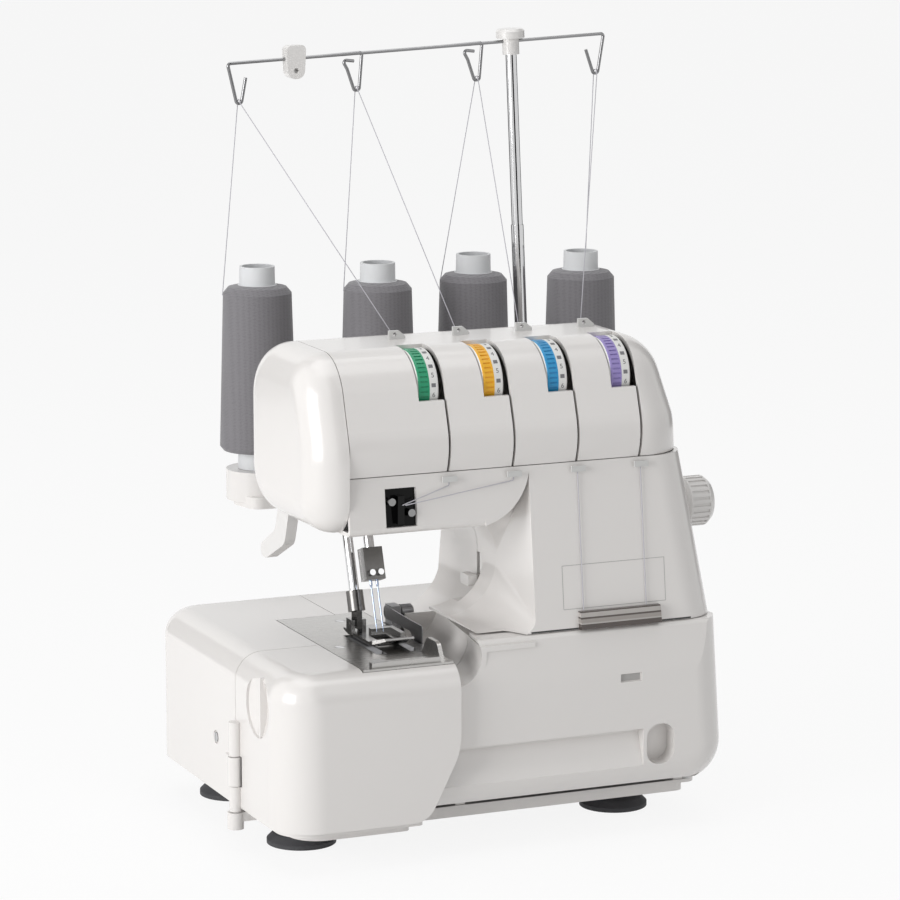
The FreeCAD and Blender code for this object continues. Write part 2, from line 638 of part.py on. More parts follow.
def cap_block(depth):
    side = [(column_front(UNDER) + 0.5, UNDER, 21.5), (-size("bulge_front") + 0.6, size("bulge_height"), 40),
            (-size("shoulder_front"), ARM_TOP, size("shoulder_round")),
            (ARM_BACK, ARM_TOP, size("rear_round")), (ARM_BACK, UNDER, 30)]
    if depth:
        side = inset(side, depth)
    block = prism_x(side, -size("arm_end") + depth, CAP + (5 if depth else -HALF))
    end = -size("arm_end") + depth
    return rounded(block, size("cap_round") - depth, lambda e: abs(e.CenterOfMass.x - end) < 1e-6)


cap = cap_block(0).cut(cap_block(WALL))
LIFTER = (-106.5, -100)
cap = cap.cut(box(LIFTER[0] - 1.2, LIFTER[1] + 1.2, -42, 14, UNDER - 10, UNDER + 20))
plain("face_cover", one_solid(cap))

# Looper cover: the front panel with its finger channel and the front of the bowl.

def cover_block(depth):
    low, high = COVER_LOW, size("cover_top")
    front_face = -size("cover_front")
    side = [(WRAP, low - 30, 0), (front_face, low - 30, 0), (front_face, 98, 30),
            (-size("cover_lip"), high, 3), (WRAP, high, 0)]
    view = [(SWING_FOOT + 0.9, low, 0), (size("base_right"), low, size("corner_round")),
            (column_right(high), high, 0), (SWING_END + GAP, high, 0), (SWING_END + GAP, SWING_BEND - 0.8, 41)]
    if depth:
        side = inset(side, depth)
        side[0] = (-40, side[0][1], 0)
        side[-1] = (-40, side[-1][1], 0)
        view = inset(view, depth)
    block = prism_y(view, front_face + depth, -40 if depth else WRAP)
    block = rounded(block, size("cover_round") - depth, lambda e: e.CenterOfMass.y < front_face + depth + 1e-6
                    and (e.CenterOfMass.z < high - 10 and e.CenterOfMass.x > 10))
    return block.common(prism_x(side, SWING_END - 30, 160))


def channel(depth):
    face = -size("cover_front") - 6
    low, high = size("channel_low") - depth, size("channel_high") + depth
    floor = -size("cover_front") + size("channel_depth") + depth
    wedge = prism_x([(face, high, 0), (floor, high - 2, 2), (-size("cover_front") + depth, low, 3), (face, low, 0)],
                    SWING_END - 20, size("channel_end") + depth)
    start = size("channel_end") + 2 - depth
    end = start + 18 + 2 * depth
    thumb = prism_y([(start, low + 1, 8), (end, low + 1, 8), (end, high + 1, 8), (start, high + 1, 8)],
                    face, floor + 2)
    return wedge.fuse(thumb)


cover = cover_block(0).cut(channel(0))
cover_void = cover_block(WALL).cut(channel(WALL))
open_back = box(SWING_FOOT - 5, 120, -size("cover_front") + 7, WRAP + 30, 0, size("channel_low"))
open_rear = box(SWING_FOOT - 5, 120, -size("cover_front") + 14, WRAP + 30, 0, size("cover_top") - WALL)
tilt_room = box(SWING_FOOT - 5, 200, -98, WRAP + 5, size("cover_top") - 0.6, FAR)
heel_room = box(90, 200, WRAP - 2.5, WRAP + 5, 0, 36)
cover = cover.cut(cover_void.fuse([open_back, open_rear])).cut(tilt_room).cut(heel_room)
bowl_block = box(SWING_END + GAP, 11, -size("cover_front") + 1, -size("bowl_split") - HALF, 70, size("bowl_rim"))
bowl_skin = bowl_cone(3)
bowl_front = bowl_block.common(bowl_skin.fuse(box(-24, 20, -FAR, FAR, size("bowl_rim") - 3, FAR)))
cover = cover.fuse(bowl_front).cut(bowl)
cover = cover.cut(box(65, 78.5, -130, -size("cover_front") + 1.2, 92, 97))
ROD = (-size("rod_front"), size("rod_height"))
for start, end in ((0, 20), (80, 100)):
    knuckle = rod((start, *ROD), (end, *ROD), size("rod_radius") + 2.4)
    web = box(start, end, -size("cover_front"), ROD[0], ROD[1] - 2.5, ROD[1] + 2.5)
    cover = cover.fuse(knuckle.fuse(web.common(cover_block(0))))
cover = cover.cut(rod((-60, *ROD), (160, *ROD), size("rod_radius") + FIT))
plain("looper_cover", one_solid(cover))
rod_bar = Part.makeCylinder(size("rod_radius"), 157, V(-36, *ROD), V(1, 0, 0))
plain("cover_rod", rod_bar)

# Waste chute: the fixed rear of the bowl, beside the needle plate.
chute = box(SWING_END + GAP, CHUTE_RIGHT - 5.5, -size("bowl_split") + HALF, BOWL_BACK + 3, TOP - 20, size("bowl_rim"))
chute_top = box(-20, 20, -FAR, FAR, size("bowl_rim") - 3, FAR)
chute_foot = box(-12, 20, -40, BOWL_BACK + 20, 0, FAR)
chute = chute.common(bowl_skin.fuse([chute_top, chute_foot, box(SWING_END, 0, BOWL_BACK, BOWL_BACK + 20, 0, FAR)]))
chute = chute.cut(bowl)
chute = chute.cut(box(SWING_END, -29, BOWL_BACK - 12, BOWL_BACK + 20, 0, FAR))
plain("waste_chute", one_solid(chute))

# Base tray with hinge lugs, and feet.
def tray_outline(edge, step, front, right, corner):
    """The tray seen from above: full depth at the left, set back at the right."""
    return [(LEFT + edge, FRONT + edge, corner), (SWING_FOOT - step, FRONT + edge, 4),
            (SWING_FOOT - step, front, 4), (size("base_right") - right, front, 6),
            (size("base_right") - right, BACK - edge, corner), (LEFT + edge, BACK - edge, corner)]


inner = size("tray_inset")
flange = prism_z(tray_outline(size("flange_inset"), 1, -93, 14, 20), LOW - size("flange_thick"), LOW)
tub = prism_z(tray_outline(inner, 5, -90, inner + 6, 18), size("tray_low"), LOW)
tray = flange.fuse(tub)
collar = rod((HINGE[0], HINGE[1], 12), (HINGE[0], HINGE[1], 21.8), KNUCKLE + 1.2)
collar_arm = box(HINGE[0], LEFT + inner + 2, HINGE[1] - 3.5, HINGE[1] + 3.5, size("tray_low"), 21.8)
tray = tray.fuse([collar, collar_arm])
tray = tray.cut(rod((HINGE[0], HINGE[1], 12.5), (HINGE[0], HINGE[1], 90), size("pin_radius")))
for start in (-30, 110):
    eye = rod((start, *ROD), (start + 6, *ROD), 4)
    neck = box(start, start + 6, ROD[0], -86, ROD[1] - 4, ROD[1] + 4)
    tray = tray.fuse([eye, neck, box(start, start + 6, -92, -86, LOW - 2, ROD[1])])
tray = tray.cut(rod((-60, *ROD), (160, *ROD), size("rod_radius") + FIT))
plain("base_tray", one_solid(tray))
hinge_pin = rod((HINGE[0], HINGE[1], 12.5), (HINGE[0], HINGE[1], 72.5), size("pin_radius"))
plain("hinge_pin", hinge_pin)

foot_shape = turned("foot_shape", [("0", "0"), ("foot_radius", "0"), ("foot_radius", "2.5"),
                                   ("foot_radius - 3.5", "6"), ("9", "9.5"), ("8", "tray_low"), ("0", "tray_low")],
                    keep=False)
FEET = [(x, y, 0) for x in (-size("foot_left"), size("foot_right"))
        for y in (-size("foot_front"), size("foot_rear"))]
copies("rubber_feet", foot_shape, FEET)

# Needle plate with its feed slots, needle slot, knife notch and screw holes.
needle_plate = new_body("needle_plate")
edge_sketch = draw(needle_plate, "XY_Plane",
                   [[("-plate_left", "-plate_front"), ("-plate_right", "-plate_front"),
                     ("-plate_right", "plate_back"), ("-plate_left", "plate_back")]],
                   level="base_top - plate_thick")
pad(needle_plate, edge_sketch, "plate_thick")
slots = []
for start, end, low, high in (("-72.6", "-66.4", "-78", "-26"), ("-51.6", "-46.4", "-78", "-26"),
                              ("-64", "-54", "-59", "-46"), ("-41.2", "-plate_right", "-63", "-45")):
    slots.append([(start, low), (end, low), (end, high), (start, high)])
pocket(needle_plate, draw(needle_plate, "XY_Plane", slots, level="base_top"), "plate_thick")
SCREW_SPOTS = (("-85", "-52"), ("-60", "10"))
seats = [(u, v, "3.1") for u, v in SCREW_SPOTS]
pocket(needle_plate, draw(needle_plate, "XY_Plane", (), seats, level="base_top"), "1.2")
holes = [(u, v, "1.6") for u, v in SCREW_SPOTS]
pocket(needle_plate, draw(needle_plate, "XY_Plane", (), holes, level="base_top"), "plate_thick")

screw_shape = turned("screw_shape", [("0", "0"), ("2.9", "0"), ("2.9", "-1.2"), ("1.5", "-1.2"), ("1.5", "-8"),
                                     ("0", "-8")], keep=False)
slit = draw(screw_shape, "XY_Plane", [[("-4", "-0.35"), ("4", "-0.35"), ("4", "0.35"), ("-4", "0.35")]])
pocket(screw_shape, slit, "0.6")
plate_spots = [(number(u), number(v), TOP) for u, v in SCREW_SPOTS]
doc.recompute()
screws = []
for spot in plate_spots:
    solid = screw_shape.Shape.copy()
    solid.Placement = FreeCAD.Placement(V(*spot), FreeCAD.Rotation())
    screws.append(solid)
side_screw = screw_shape.Shape.copy()
side_screw.Placement = FreeCAD.Placement(V(LEFT - 0.2, SIDE_SCREW[1], SIDE_SCREW[2]), FreeCAD.Rotation(V(0, 1, 0), -90))
screws.append(side_screw)
plain("cover_screws", Part.makeCompound(screws))

# Fabric guard: a low rail along the plate's front edge and a fin at its right.
rail = box(-88, -46, PLATE_FRONT + 2, PLATE_FRONT + 6, TOP, TOP + 3)
fin = prism_x([(PLATE_FRONT + 2, TOP, 0), (-80, TOP, 0), (-88, TOP + 10, 3), (-102, TOP + 10, 5)], -46, -43.5)
plain("fabric_guard", rail.fuse(fin))

# Machine frame: the casting that carries the plate, shafts and bars.
NEEDLE = V(-size("needle_left"), -size("needle_front"), TOP)
PRESSER = V(-size("presser_left"), -size("presser_front"), TOP)
lean = math.radians(size("bar_lean"))
BAR_WAY = V(0, math.sin(lean), math.cos(lean))


def along(start, distance):
    return start + BAR_WAY * distance


KNIFE = (-9, 121)
FRAME_LOW = LOW
ARM_LOW, ARM_HIGH = 199, 224
walls = []
for start, end in ((60, 70), (94, 102)):
    walls.append(box(start, end, -74, 76, FRAME_LOW, 108))
    walls.append(box(start, end, -74, 0, 100, ARM_HIGH))
frame = box(-128, 102, -34, 84, FRAME_LOW, FRAME_LOW + 7)
frame = frame.fuse(walls + [
    box(-44, 102, -44, -6, ARM_LOW, ARM_HIGH),
    prism_x([(-44, ARM_LOW, 0), (-3, ARM_LOW, 0), (4.5, ARM_LOW + 13, 0), (4.5, ARM_HIGH - 3, 0), (-44, ARM_HIGH - 3, 0)], -90, -44),
    rod((-92, -25, 207), (-112, -25, 207), 3), box(-93, -88, -31, -19, 201, 213),
    prism_z([(-92, -105, 0), (-76, -105, 0), (-76, -18, 0), (-42, -18, 0), (-42, 24, 0), (-92, 24, 0)], 104, PLATE_LOW),
    box(-92, -84, -30, 20, FRAME_LOW, 106),
    box(-37, -31, KNIFE[0] - 5, KNIFE[0] + 5, FRAME_LOW, KNIFE[1] + 4.5),
    box(-11, 6, -32, BOWL_BACK, FRAME_LOW, TOP - 20),
    box(-24, -18, -52, -30, FRAME_LOW, 52), box(2, 8, -52, -30, FRAME_LOW, 56),
])
LOWER_LOOPER = (-21, 45)
UPPER_LOOPER = (5, 49)
frame = frame.fuse([rod((LOWER_LOOPER[0], -52, LOWER_LOOPER[1]), (LOWER_LOOPER[0], -64, LOWER_LOOPER[1]), 2.5),
                    rod((UPPER_LOOPER[0], -52, UPPER_LOOPER[1]), (UPPER_LOOPER[0], -60, UPPER_LOOPER[1]), 2.5)])
MOTOR = (size("motor_rear"), size("motor_height"))
BUSH = size("shaft_radius") + 3
frame = frame.cut(rod((74, *SHAFT), (90, *SHAFT), size("pulley_radius") + 7))
frame = frame.cut(rod((50, *SHAFT), (110, *SHAFT), BUSH))
frame = frame.cut(rod((55, *MOTOR), (110, *MOTOR), 6))
for start in (NEEDLE, PRESSER):
    frame = frame.cut(Part.makeCylinder(size("bar_radius") + 2, 80, along(start, 70), BAR_WAY))
frame = frame.cut(rod((-60, *KNIFE), (-20, *KNIFE), 2 + FIT))
for u, v, z in plate_spots:
    frame = frame.cut(rod((u, v, 90), (u, v, 120), 1.5))
plain("machine_frame", one_solid(frame))

# Bushes in the frame for the main shaft, needle bar and presser bar.
shaft_ring = Part.makeCylinder(BUSH, 10, V(60, *SHAFT), V(1, 0, 0))
shaft_ring = shaft_ring.fuse(Part.makeCylinder(BUSH, 8, V(94, *SHAFT), V(1, 0, 0)))
shaft_ring = shaft_ring.cut(rod((50, *SHAFT), (110, *SHAFT), size("shaft_radius") + FIT))
bushes = list(shaft_ring.Solids)
for start in (NEEDLE, PRESSER):
    low = (ARM_LOW + 3 - TOP) / math.cos(lean)
    ring = Part.makeCylinder(size("bar_radius") + 2, 20, along(start, low), BAR_WAY)
    ring = ring.cut(Part.makeCylinder(size("bar_radius") + FIT, 60, along(start, low - 10), BAR_WAY))
    bushes.append(ring)
plain("shaft_bushes", Part.makeCompound(bushes))

# Needle bar, clamp, screws and needles, on one leaned line.
turned("needle_bar", [("0", "44"), ("bar_radius", "44"), ("bar_radius", "140"), ("0", "140")],
       ("-needle_left", "-needle_front", "base_top"), LEANED)
CLAMP_LOW, CLAMP_HIGH = 36, 55
clamp = new_body("needle_clamp")
pad(clamp, draw(clamp, "XY_Plane", [[("-clamp_radius", "-4.4"), ("clamp_radius", "-4.4"), ("clamp_radius", "4.4"),
                                     ("-clamp_radius", "4.4")]], level=CLAMP_LOW), CLAMP_HIGH - CLAMP_LOW)
pocket(clamp, draw(clamp, "XY_Plane", (), [("0", "0", "bar_radius")], level=CLAMP_HIGH), "11")
pocket(clamp, draw(clamp, "XY_Plane", (), [("-needle_gap / 2", "0", "0.95"), ("needle_gap / 2", "0", "0.95")],
                   level=CLAMP_LOW), "8", back=True)
pocket(clamp, draw(clamp, "XZ_Plane", (), [("-needle_gap / 2 - 0.6", "40", "1"), ("needle_gap / 2 + 0.6", "40", "1")],
                   level="4.4"), "3.4")
place(clamp, ("-needle_left", "-needle_front", "base_top"), LEANED)
needle_profile = [("0", "5.3"), ("0.35", "9"), ("0.55", "14"), ("0.55", "32"), ("0.95", "33.5"), ("0.95", "44"), ("0", "44")]
needle_shape = turned("needle_shape", needle_profile, keep=False)
needle_spots = [(NEEDLE.x + side * size("needle_gap") / 2, NEEDLE.y, NEEDLE.z) for side in (-1, 1)]
copies("needles", needle_shape, needle_spots, LEANED)
clamp_screw = turned("clamp_screw_shape", [("0", "1.2"), ("1", "1.2"), ("1", "4.4"), ("1.8", "4.4"), ("1.8", "7"), ("0", "7")],
                     keep=False)
screw_turn = LEANED.multiply(FreeCAD.Rotation(V(1, 0, 0), 90))
screw_spots = []
for side in (-1, 1):
    spot = along(NEEDLE, 40) + V(side * (size("needle_gap") / 2 + 0.6), 0, 0)
    screw_spots.append((spot.x, spot.y, spot.z))
copies("clamp_screws", clamp_screw, screw_spots, screw_turn)

# Presser bar, ankle, foot and lifter.
turned("presser_bar", [("0", "18"), ("bar_radius", "18"), ("bar_radius", "117"), ("0", "117")],
       ("-presser_left", "-presser_front", "base_top"), LEANED)
PIVOT = (-30, 121.6)
ankle = Part.makeCylinder(5, 12, along(PRESSER, 16), BAR_WAY)
ankle = ankle.fuse(box(PRESSER.x - 1.7, PRESSER.x + 1.7, PIVOT[0] - 5, PIVOT[0] + 3, PIVOT[1] - 2.2, PIVOT[1] + 11))
ankle = ankle.cut(Part.makeCylinder(size("bar_radius"), 40, along(PRESSER, 18), BAR_WAY))
ankle = ankle.cut(rod((-80, *PIVOT), (-50, *PIVOT), 1.2 + FIT))
plain("presser_ankle", one_solid(ankle))
SOLE = size("foot_sole")
TOE, HEEL = -size("foot_toe"), -size("foot_heel")
sole_side = [(TOE, SOLE + 4, 0.5), (TOE + 9, SOLE, 8), (HEEL - 7, SOLE, 3), (HEEL, SOLE + 1.6, 0.5),
             (HEEL, SOLE + 2.6, 0.3), (TOE + 11, SOLE + 2.2, 6), (TOE + 1, SOLE + 5.5, 0.5)]
foot = prism_x(sole_side, -70, -46)
foot = foot.cut(box(-64, -54, -59, -45, 100, 130))
foot = foot.cut(prism_z([(-80, TOE - 2, 0), (-61, TOE - 2, 0), (-80, TOE + 14, 0)], 100, 130))
for side in (-1, 1):
    cheek_x = PRESSER.x + side * 3.4
    foot = foot.fuse(box(cheek_x - 1.2, cheek_x + 1.2, PIVOT[0] - 4, PIVOT[0] + 4, SOLE + 1, PIVOT[1] + 3))
foot = foot.fuse(box(-61, -46, -41, -37, SOLE + 1, SOLE + 5))
foot = foot.fuse(box(-49, -46, TOE + 14, -37, SOLE + 1, SOLE + 5))
foot = foot.fuse(Part.makeCylinder(1.2, 9.6, V(PRESSER.x - 4.8, *PIVOT), V(1, 0, 0)))
plain("presser_foot", one_solid(foot))
LIFT_PIVOT = (-25, 207)
lever_side = [(LIFT_PIVOT[0] - 6, LIFT_PIVOT[1] + 6, 5.5), (LIFT_PIVOT[0] - 6, LIFT_PIVOT[1] - 8, 4), (-20, 170, 10),
              (10, 156, 9), (18, 156, 3.5), (19, 163, 3), (-5, 176, 10), (LIFT_PIVOT[0] + 7, LIFT_PIVOT[1] + 6, 5.5)]
lever = prism_x(lever_side, LIFTER[0], LIFTER[1]).cut(rod((-120, *LIFT_PIVOT), (-90, *LIFT_PIVOT), 3 + FIT))
plain("presser_lifter", lever)

# Tension units: dials, studs, discs and their bracket.
DIAL_NAMES = ("left_needle", "right_needle", "upper_looper", "lower_looper")
for groove, name in zip(GROOVES, DIAL_NAMES):
    dial = turned("tension_dial_" + name, [
        ("stud_radius + fit_gap", "0"), ("dial_radius - 0.8", "0"), ("dial_radius", "0.8"), ("dial_radius", "dial_wide - 0.8"),
        ("dial_radius - 0.8", "dial_wide"), ("dial_radius - 3", "dial_wide"), ("dial_radius - 3", "dial_wide - 3"),
        ("stud_radius + fit_gap", "dial_wide - 3")])
    tooth = draw(dial, "XY_Plane", [[("dial_radius - 0.5", "-0.45"), ("dial_radius + 1", "-0.45"),
                                     ("dial_radius + 1", "0.45"), ("dial_radius - 0.5", "0.45")]], level="2")
    around(dial, pocket(dial, tooth, "4.6", back=True), 48)
    start = groove + size("groove_wide") / 2 - size("dial_slot") + 0.8
    dial.Placement = FreeCAD.Placement(V(start, *DIAL), TO_RIGHT)
studs, discs, ribs = [], [], []
for groove in GROOVES:
    left = groove - size("dial_slot") - 2.5
    studs.append(rod((left - 3, *DIAL), (groove + 5, *DIAL), size("stud_radius")))
    for start in (groove - 1.7, groove + 0.6):
        disc = rod((start, *DIAL), (start + 1.1, *DIAL), size("disc_radius"))
        discs.append(disc.cut(studs[-1]))
    ribs.append(box(left - 3, left - 1, DIAL[0] - 8, DIAL[0] + 8, ARM_HIGH + 1, DIAL[1] + 8))
plain("tension_discs", Part.makeCompound(discs))
bracket = box(-64, 90, DIAL[0] - 10, -20, ARM_HIGH, ARM_HIGH + 2).fuse(ribs + studs)
plain("tension_bracket", bracket)

# Thread guides: one on top and one at the seam for each thread.
guide_body = new_body("guide_shape", keep=False)
pad(guide_body, draw(guide_body, "XZ_Plane", [[("-5", "0"), ("5", "0"), ("5", "1.6"), ("1", "5"), ("-5", "5")]]), "2.2")
pocket(guide_body, draw(guide_body, "XZ_Plane", (), [("-1.5", "2.8", "1.2")]), "4", back=True)
TOP_GUIDES = [(groove - 6, -36, ARM_TOP) for groove in GROOVES]
doc.recompute()
guides = []
for spot in TOP_GUIDES:
    solid = guide_body.Shape.copy()
    solid.Placement = FreeCAD.Placement(V(*spot), FreeCAD.Rotation())
    guides.append(solid)
for groove in GROOVES:
    front_y = column_front(SEAM - 6)
    tab = box(groove - 4.5, groove + 4.5, front_y - 2.7, front_y - 1.6, SEAM - 5.5, SEAM - 2.2)
    stem = rod((groove + 3.2, front_y - 2, SEAM - 3.9), (groove + 3.2, front_y + 0.05, SEAM - 3.9), 1.2)
    guides.append(tab.fuse(stem))
plain("thread_guides", Part.makeCompound(guides))
guide_low, guide_high = size("cover_top") + GAP + 0.2, size("cover_top") + 11
clear_side = [(column_front(guide_low), guide_low, 0), (column_front(guide_high), guide_high, 0),
              (column_front(guide_high) - 3.5, guide_high, 1), (column_front(guide_low) - 4.5, guide_low, 1)]
plain("looper_thread_guide", prism_x(clear_side, 40, 91))
back_low, back_high = TAKE_UP[2] + 0.2, TAKE_UP[3] + 3
inner_low = column_front(back_low) + WALL * 1.008
inner_high = column_front(back_high) + WALL * 1.008
take_up = prism_x([(inner_low, back_low, 0), (inner_high, back_high, 0), (inner_high + 1.2, back_high, 0),
                   (inner_low + 1.2, back_low, 0)], TAKE_UP[0] - 3, TAKE_UP[1] + 3)
for x, z in ((-73, 207), (-61, 200)):
    take_up = take_up.fuse(rod((x, -96, z), (x, -100.8, z), 1))
    take_up = take_up.fuse(rod((x, -100.7, z), (x, -102.2, z), 2.2))
take_up = take_up.fuse(box(-69.5, -65.5, -102, -96, 194, 210))
plain("take_up_guide", one_solid(take_up))

# Differential feed lever in its slot beside the column seam.
lever_y = SPLIT - 2
stem = box(5, 24, lever_y - 1.4, lever_y + 1.4, 138, 143)
knob = prism_x([(lever_y - 6, 138, 1.5), (lever_y + 6, 138, 1.5), (lever_y + 6, 144.5, 1.5), (lever_y - 6, 144.5, 1.5)], 4, 9.5)
plain("feed_lever", knob.fuse(stem))

# Knives: the fixed one beside the plate and the swinging one on its knob.
plain("lower_knife", box(-41, PLATE_RIGHT - 0.3, -62, -46, 96, TOP - 0.2).fuse(box(-47, -41, -60, -48, 96, 100)).fuse(
    box(-47, -42, -60, -20, 96, 100)).fuse(box(-47, -42.2, -24, -18, 96, 104)))
arm_side = [(KNIFE[0] + 5, KNIFE[1] + 4, 3.5), (KNIFE[0] + 5, KNIFE[1] - 4, 3.5), (-44, 117.5, 5), (-50, TOP - 1, 0),
            (-62, TOP - 2, 0), (-62, 124, 2), (-44, 124, 5)]
upper = prism_x(arm_side, SWING_END + 0.3, SWING_END + 1).cut(rod((-60, *KNIFE), (-20, *KNIFE), 2))
knob_body = turned("knob_shape", [("0", "0"), ("2", "0"), ("2", "8.4"), ("4.25", "8.4"), ("4.25", "15"), ("3.4", "16"), ("0", "16")],
                   keep=False)
tooth = draw(knob_body, "XY_Plane", [[("3.9", "-0.25"), ("5", "-0.25"), ("5", "0.25"), ("3.9", "0.25")]], level="8")
around(knob_body, pocket(knob_body, tooth, "9", back=True), 24)
knob_body.Placement = FreeCAD.Placement(V(SWING_END + 0.3, *KNIFE), TO_RIGHT)
doc.recompute()
plain("upper_knife", upper.fuse(knob_body.Shape))

# Loopers and feed dogs below the plate.
lower_side = [(LOWER_LOOPER[0] - 5, LOWER_LOOPER[1] - 5, 4.5), (LOWER_LOOPER[0] + 5, LOWER_LOOPER[1] - 5, 4.5),
              (LOWER_LOOPER[0] + 5, LOWER_LOOPER[1] + 5, 4.5), (-45, 84, 10), (-66, 94, 1), (-68, 91.5, 0.5), (-50, 80, 10)]
plain("lower_looper", prism_y(lower_side, -63.5, -60.5).cut(rod((LOWER_LOOPER[0], -80, LOWER_LOOPER[1]),
                                                                (LOWER_LOOPER[0], -40, LOWER_LOOPER[1]), 2.5 + FIT)))
upper_side = [(UPPER_LOOPER[0] - 5, UPPER_LOOPER[1] - 5, 4.5), (UPPER_LOOPER[0] + 5, UPPER_LOOPER[1] - 5, 4.5),
              (UPPER_LOOPER[0] + 5, UPPER_LOOPER[1] + 5, 4.5), (-12, 84, 10), (-30, 93, 1), (-31, 90.5, 0.5), (-17, 80, 10)]
plain("upper_looper", prism_y(upper_side, -57, -54).cut(rod((UPPER_LOOPER[0], -80, UPPER_LOOPER[1]),
                                                            (UPPER_LOOPER[0], -40, UPPER_LOOPER[1]), 2.5 + FIT)))
dogs = box(-72, -46.8, -74, -64, 102, 106).fuse([box(-72, -67, -74, -30, 102, 110), box(-51, -47, -74, -30, 102, 110),
                                                 box(-72, -47, -40, -30, 102, 106)])
for left, right in ((-72, -67), (-51, -47)):
    for i in range(14):
        start = -73 + 3 * i
        dogs = dogs.fuse(prism_x([(start, 109, 0), (start + 2.6, 109, 0), (start + 1.9, TOP + 0.5, 0)], left, right))
plain("feed_dogs", one_solid(dogs))

# Drive: handwheel, main shaft, pulleys, belt and motor.
wheel = turned("handwheel", [("shaft_radius", "0"), ("9", "0"), ("wheel_radius - 1.5", "3"), ("wheel_radius", "5"),
                             ("wheel_radius", "18"), ("wheel_radius - 2.5", "21"), ("0", "21.6"), ("0", "16"),
                             ("shaft_radius", "16")], ("wheel_end - 21.6", "-shaft_front", "shaft_height"), TO_RIGHT)
rib = draw(wheel, "XY_Plane", [[("wheel_radius - 0.7", "-0.9"), ("wheel_radius + 1", "-0.9"),
                                ("wheel_radius + 1", "0.9"), ("wheel_radius - 0.7", "0.9")]], level="6")
around(wheel, pocket(wheel, rib, "11", back=True), 24)
turned("main_shaft", [("0", "54"), ("shaft_radius", "54"), ("shaft_radius", "wheel_end - 5.6"), ("0", "wheel_end - 5.6")],
       ("0", "-shaft_front", "shaft_height"), TO_RIGHT)
turned("main_pulley", [("shaft_radius", "0"), ("pulley_radius + 3", "0"), ("pulley_radius + 3", "1.5"), ("pulley_radius", "1.5"),
                       ("pulley_radius", "10.5"), ("pulley_radius + 3", "10.5"), ("pulley_radius + 3", "12"), ("shaft_radius", "12")],
       ("76", "-shaft_front", "shaft_height"), TO_RIGHT)
turned("motor_pulley", [("0", "-18"), ("3", "-18"), ("3", "0"), ("motor_pulley_radius + 3", "0"), ("motor_pulley_radius + 3", "1.5"),
                        ("motor_pulley_radius", "1.5"), ("motor_pulley_radius", "10.5"), ("motor_pulley_radius + 3", "10.5"),
                        ("motor_pulley_radius + 3", "12"), ("0", "12")], ("76", "motor_rear", "motor_height"), TO_RIGHT)
turned("motor", [("3 + fit_gap", "0"), ("8", "0"), ("motor_radius", "0"), ("motor_radius", "-52"), ("8", "-52"), ("8", "-56"),
                 ("0", "-56"), ("0", "-20"), ("3 + fit_gap", "-20")], ("60", "motor_rear", "motor_height"), TO_RIGHT)


def belt_loop(extra):
    """The filled outline of the belt's run about both pulleys."""
    big, small = size("pulley_radius") + extra, size("motor_pulley_radius") + extra
    start, end = V(0, *SHAFT), V(0, *MOTOR)
    way = (end - start).normalize()
    gap = (V(0, *MOTOR) - start).Length
    swing = math.acos((big - small) / gap)
    spots = []
    for side in (1, -1):
        turn = FreeCAD.Rotation(V(1, 0, 0), math.degrees(swing) * side)
        spots.append((start + turn.multVec(way) * big, end + turn.multVec(way) * small))
    far, near = start - way * big, end + way * small
    edges = [Part.Arc(spots[1][0], far, spots[0][0]).toShape(), Part.LineSegment(spots[0][0], spots[0][1]).toShape(),
             Part.Arc(spots[0][1], near, spots[1][1]).toShape(), Part.LineSegment(spots[1][1], spots[1][0]).toShape()]
    return Part.Face(Part.Wire(edges)).extrude(V(8, 0, 0))


belt = belt_loop(size("belt_thick") + FIT).cut(belt_loop(FIT))
belt.translate(V(78, 0, 0))
plain("drive_belt", belt)

# Power inlet and switch in the right side.
bezel_end = size("base_right") - 0.6
inlet = box(116, bezel_end, INLET[0], INLET[1], INLET[2], INLET[3])
inlet = inlet.cut(box(122, 150, INLET[0] + 3, INLET[1] - 3, INLET[2] + 3, INLET[3] - 3))
for y in (34, 46):
    inlet = inlet.fuse(rod((120, y, 51), (131, y, 51), 1.5))
inlet = inlet.fuse(box(102, 117, 34, 46, 44, 58))
SWITCH_PIVOT = (128, 51)
switch_frame = box(112, bezel_end, SWITCH[0], SWITCH[1], SWITCH[2], SWITCH[3])
switch_frame = switch_frame.cut(box(115, 150, SWITCH[0] + 2, SWITCH[1] - 2, SWITCH[2] + 2, SWITCH[3] - 2))
switch_frame = switch_frame.fuse(box(102, 113, SWITCH[0] + 6, SWITCH[1] - 6, 46, 56))
pivot_pin = rod((SWITCH_PIVOT[0], SWITCH[0] + 1, SWITCH_PIVOT[1]), (SWITCH_PIVOT[0], SWITCH[1] - 1, SWITCH_PIVOT[1]), 1)
switch_frame = switch_frame.fuse(pivot_pin)
joiner = box(104, 112, SWITCH[1] - 8, INLET[0] + 10, 46, 56)
plain("power_inlet", inlet.fuse([switch_frame, joiner]))
rocker_view = [(124, 46.5, 1), (134, 45.4, 0.8), (134.8, 51, 0), (136.6, 56.4, 0.8), (124, 55.5, 1)]
plain("power_switch", prism_y(rocker_view, SWITCH[0] + 2.6, SWITCH[1] - 2.6).cut(
    rod((SWITCH_PIVOT[0], -40, SWITCH_PIVOT[1]), (SWITCH_PIVOT[0], 40, SWITCH_PIVOT[1]), 1 + FIT)))

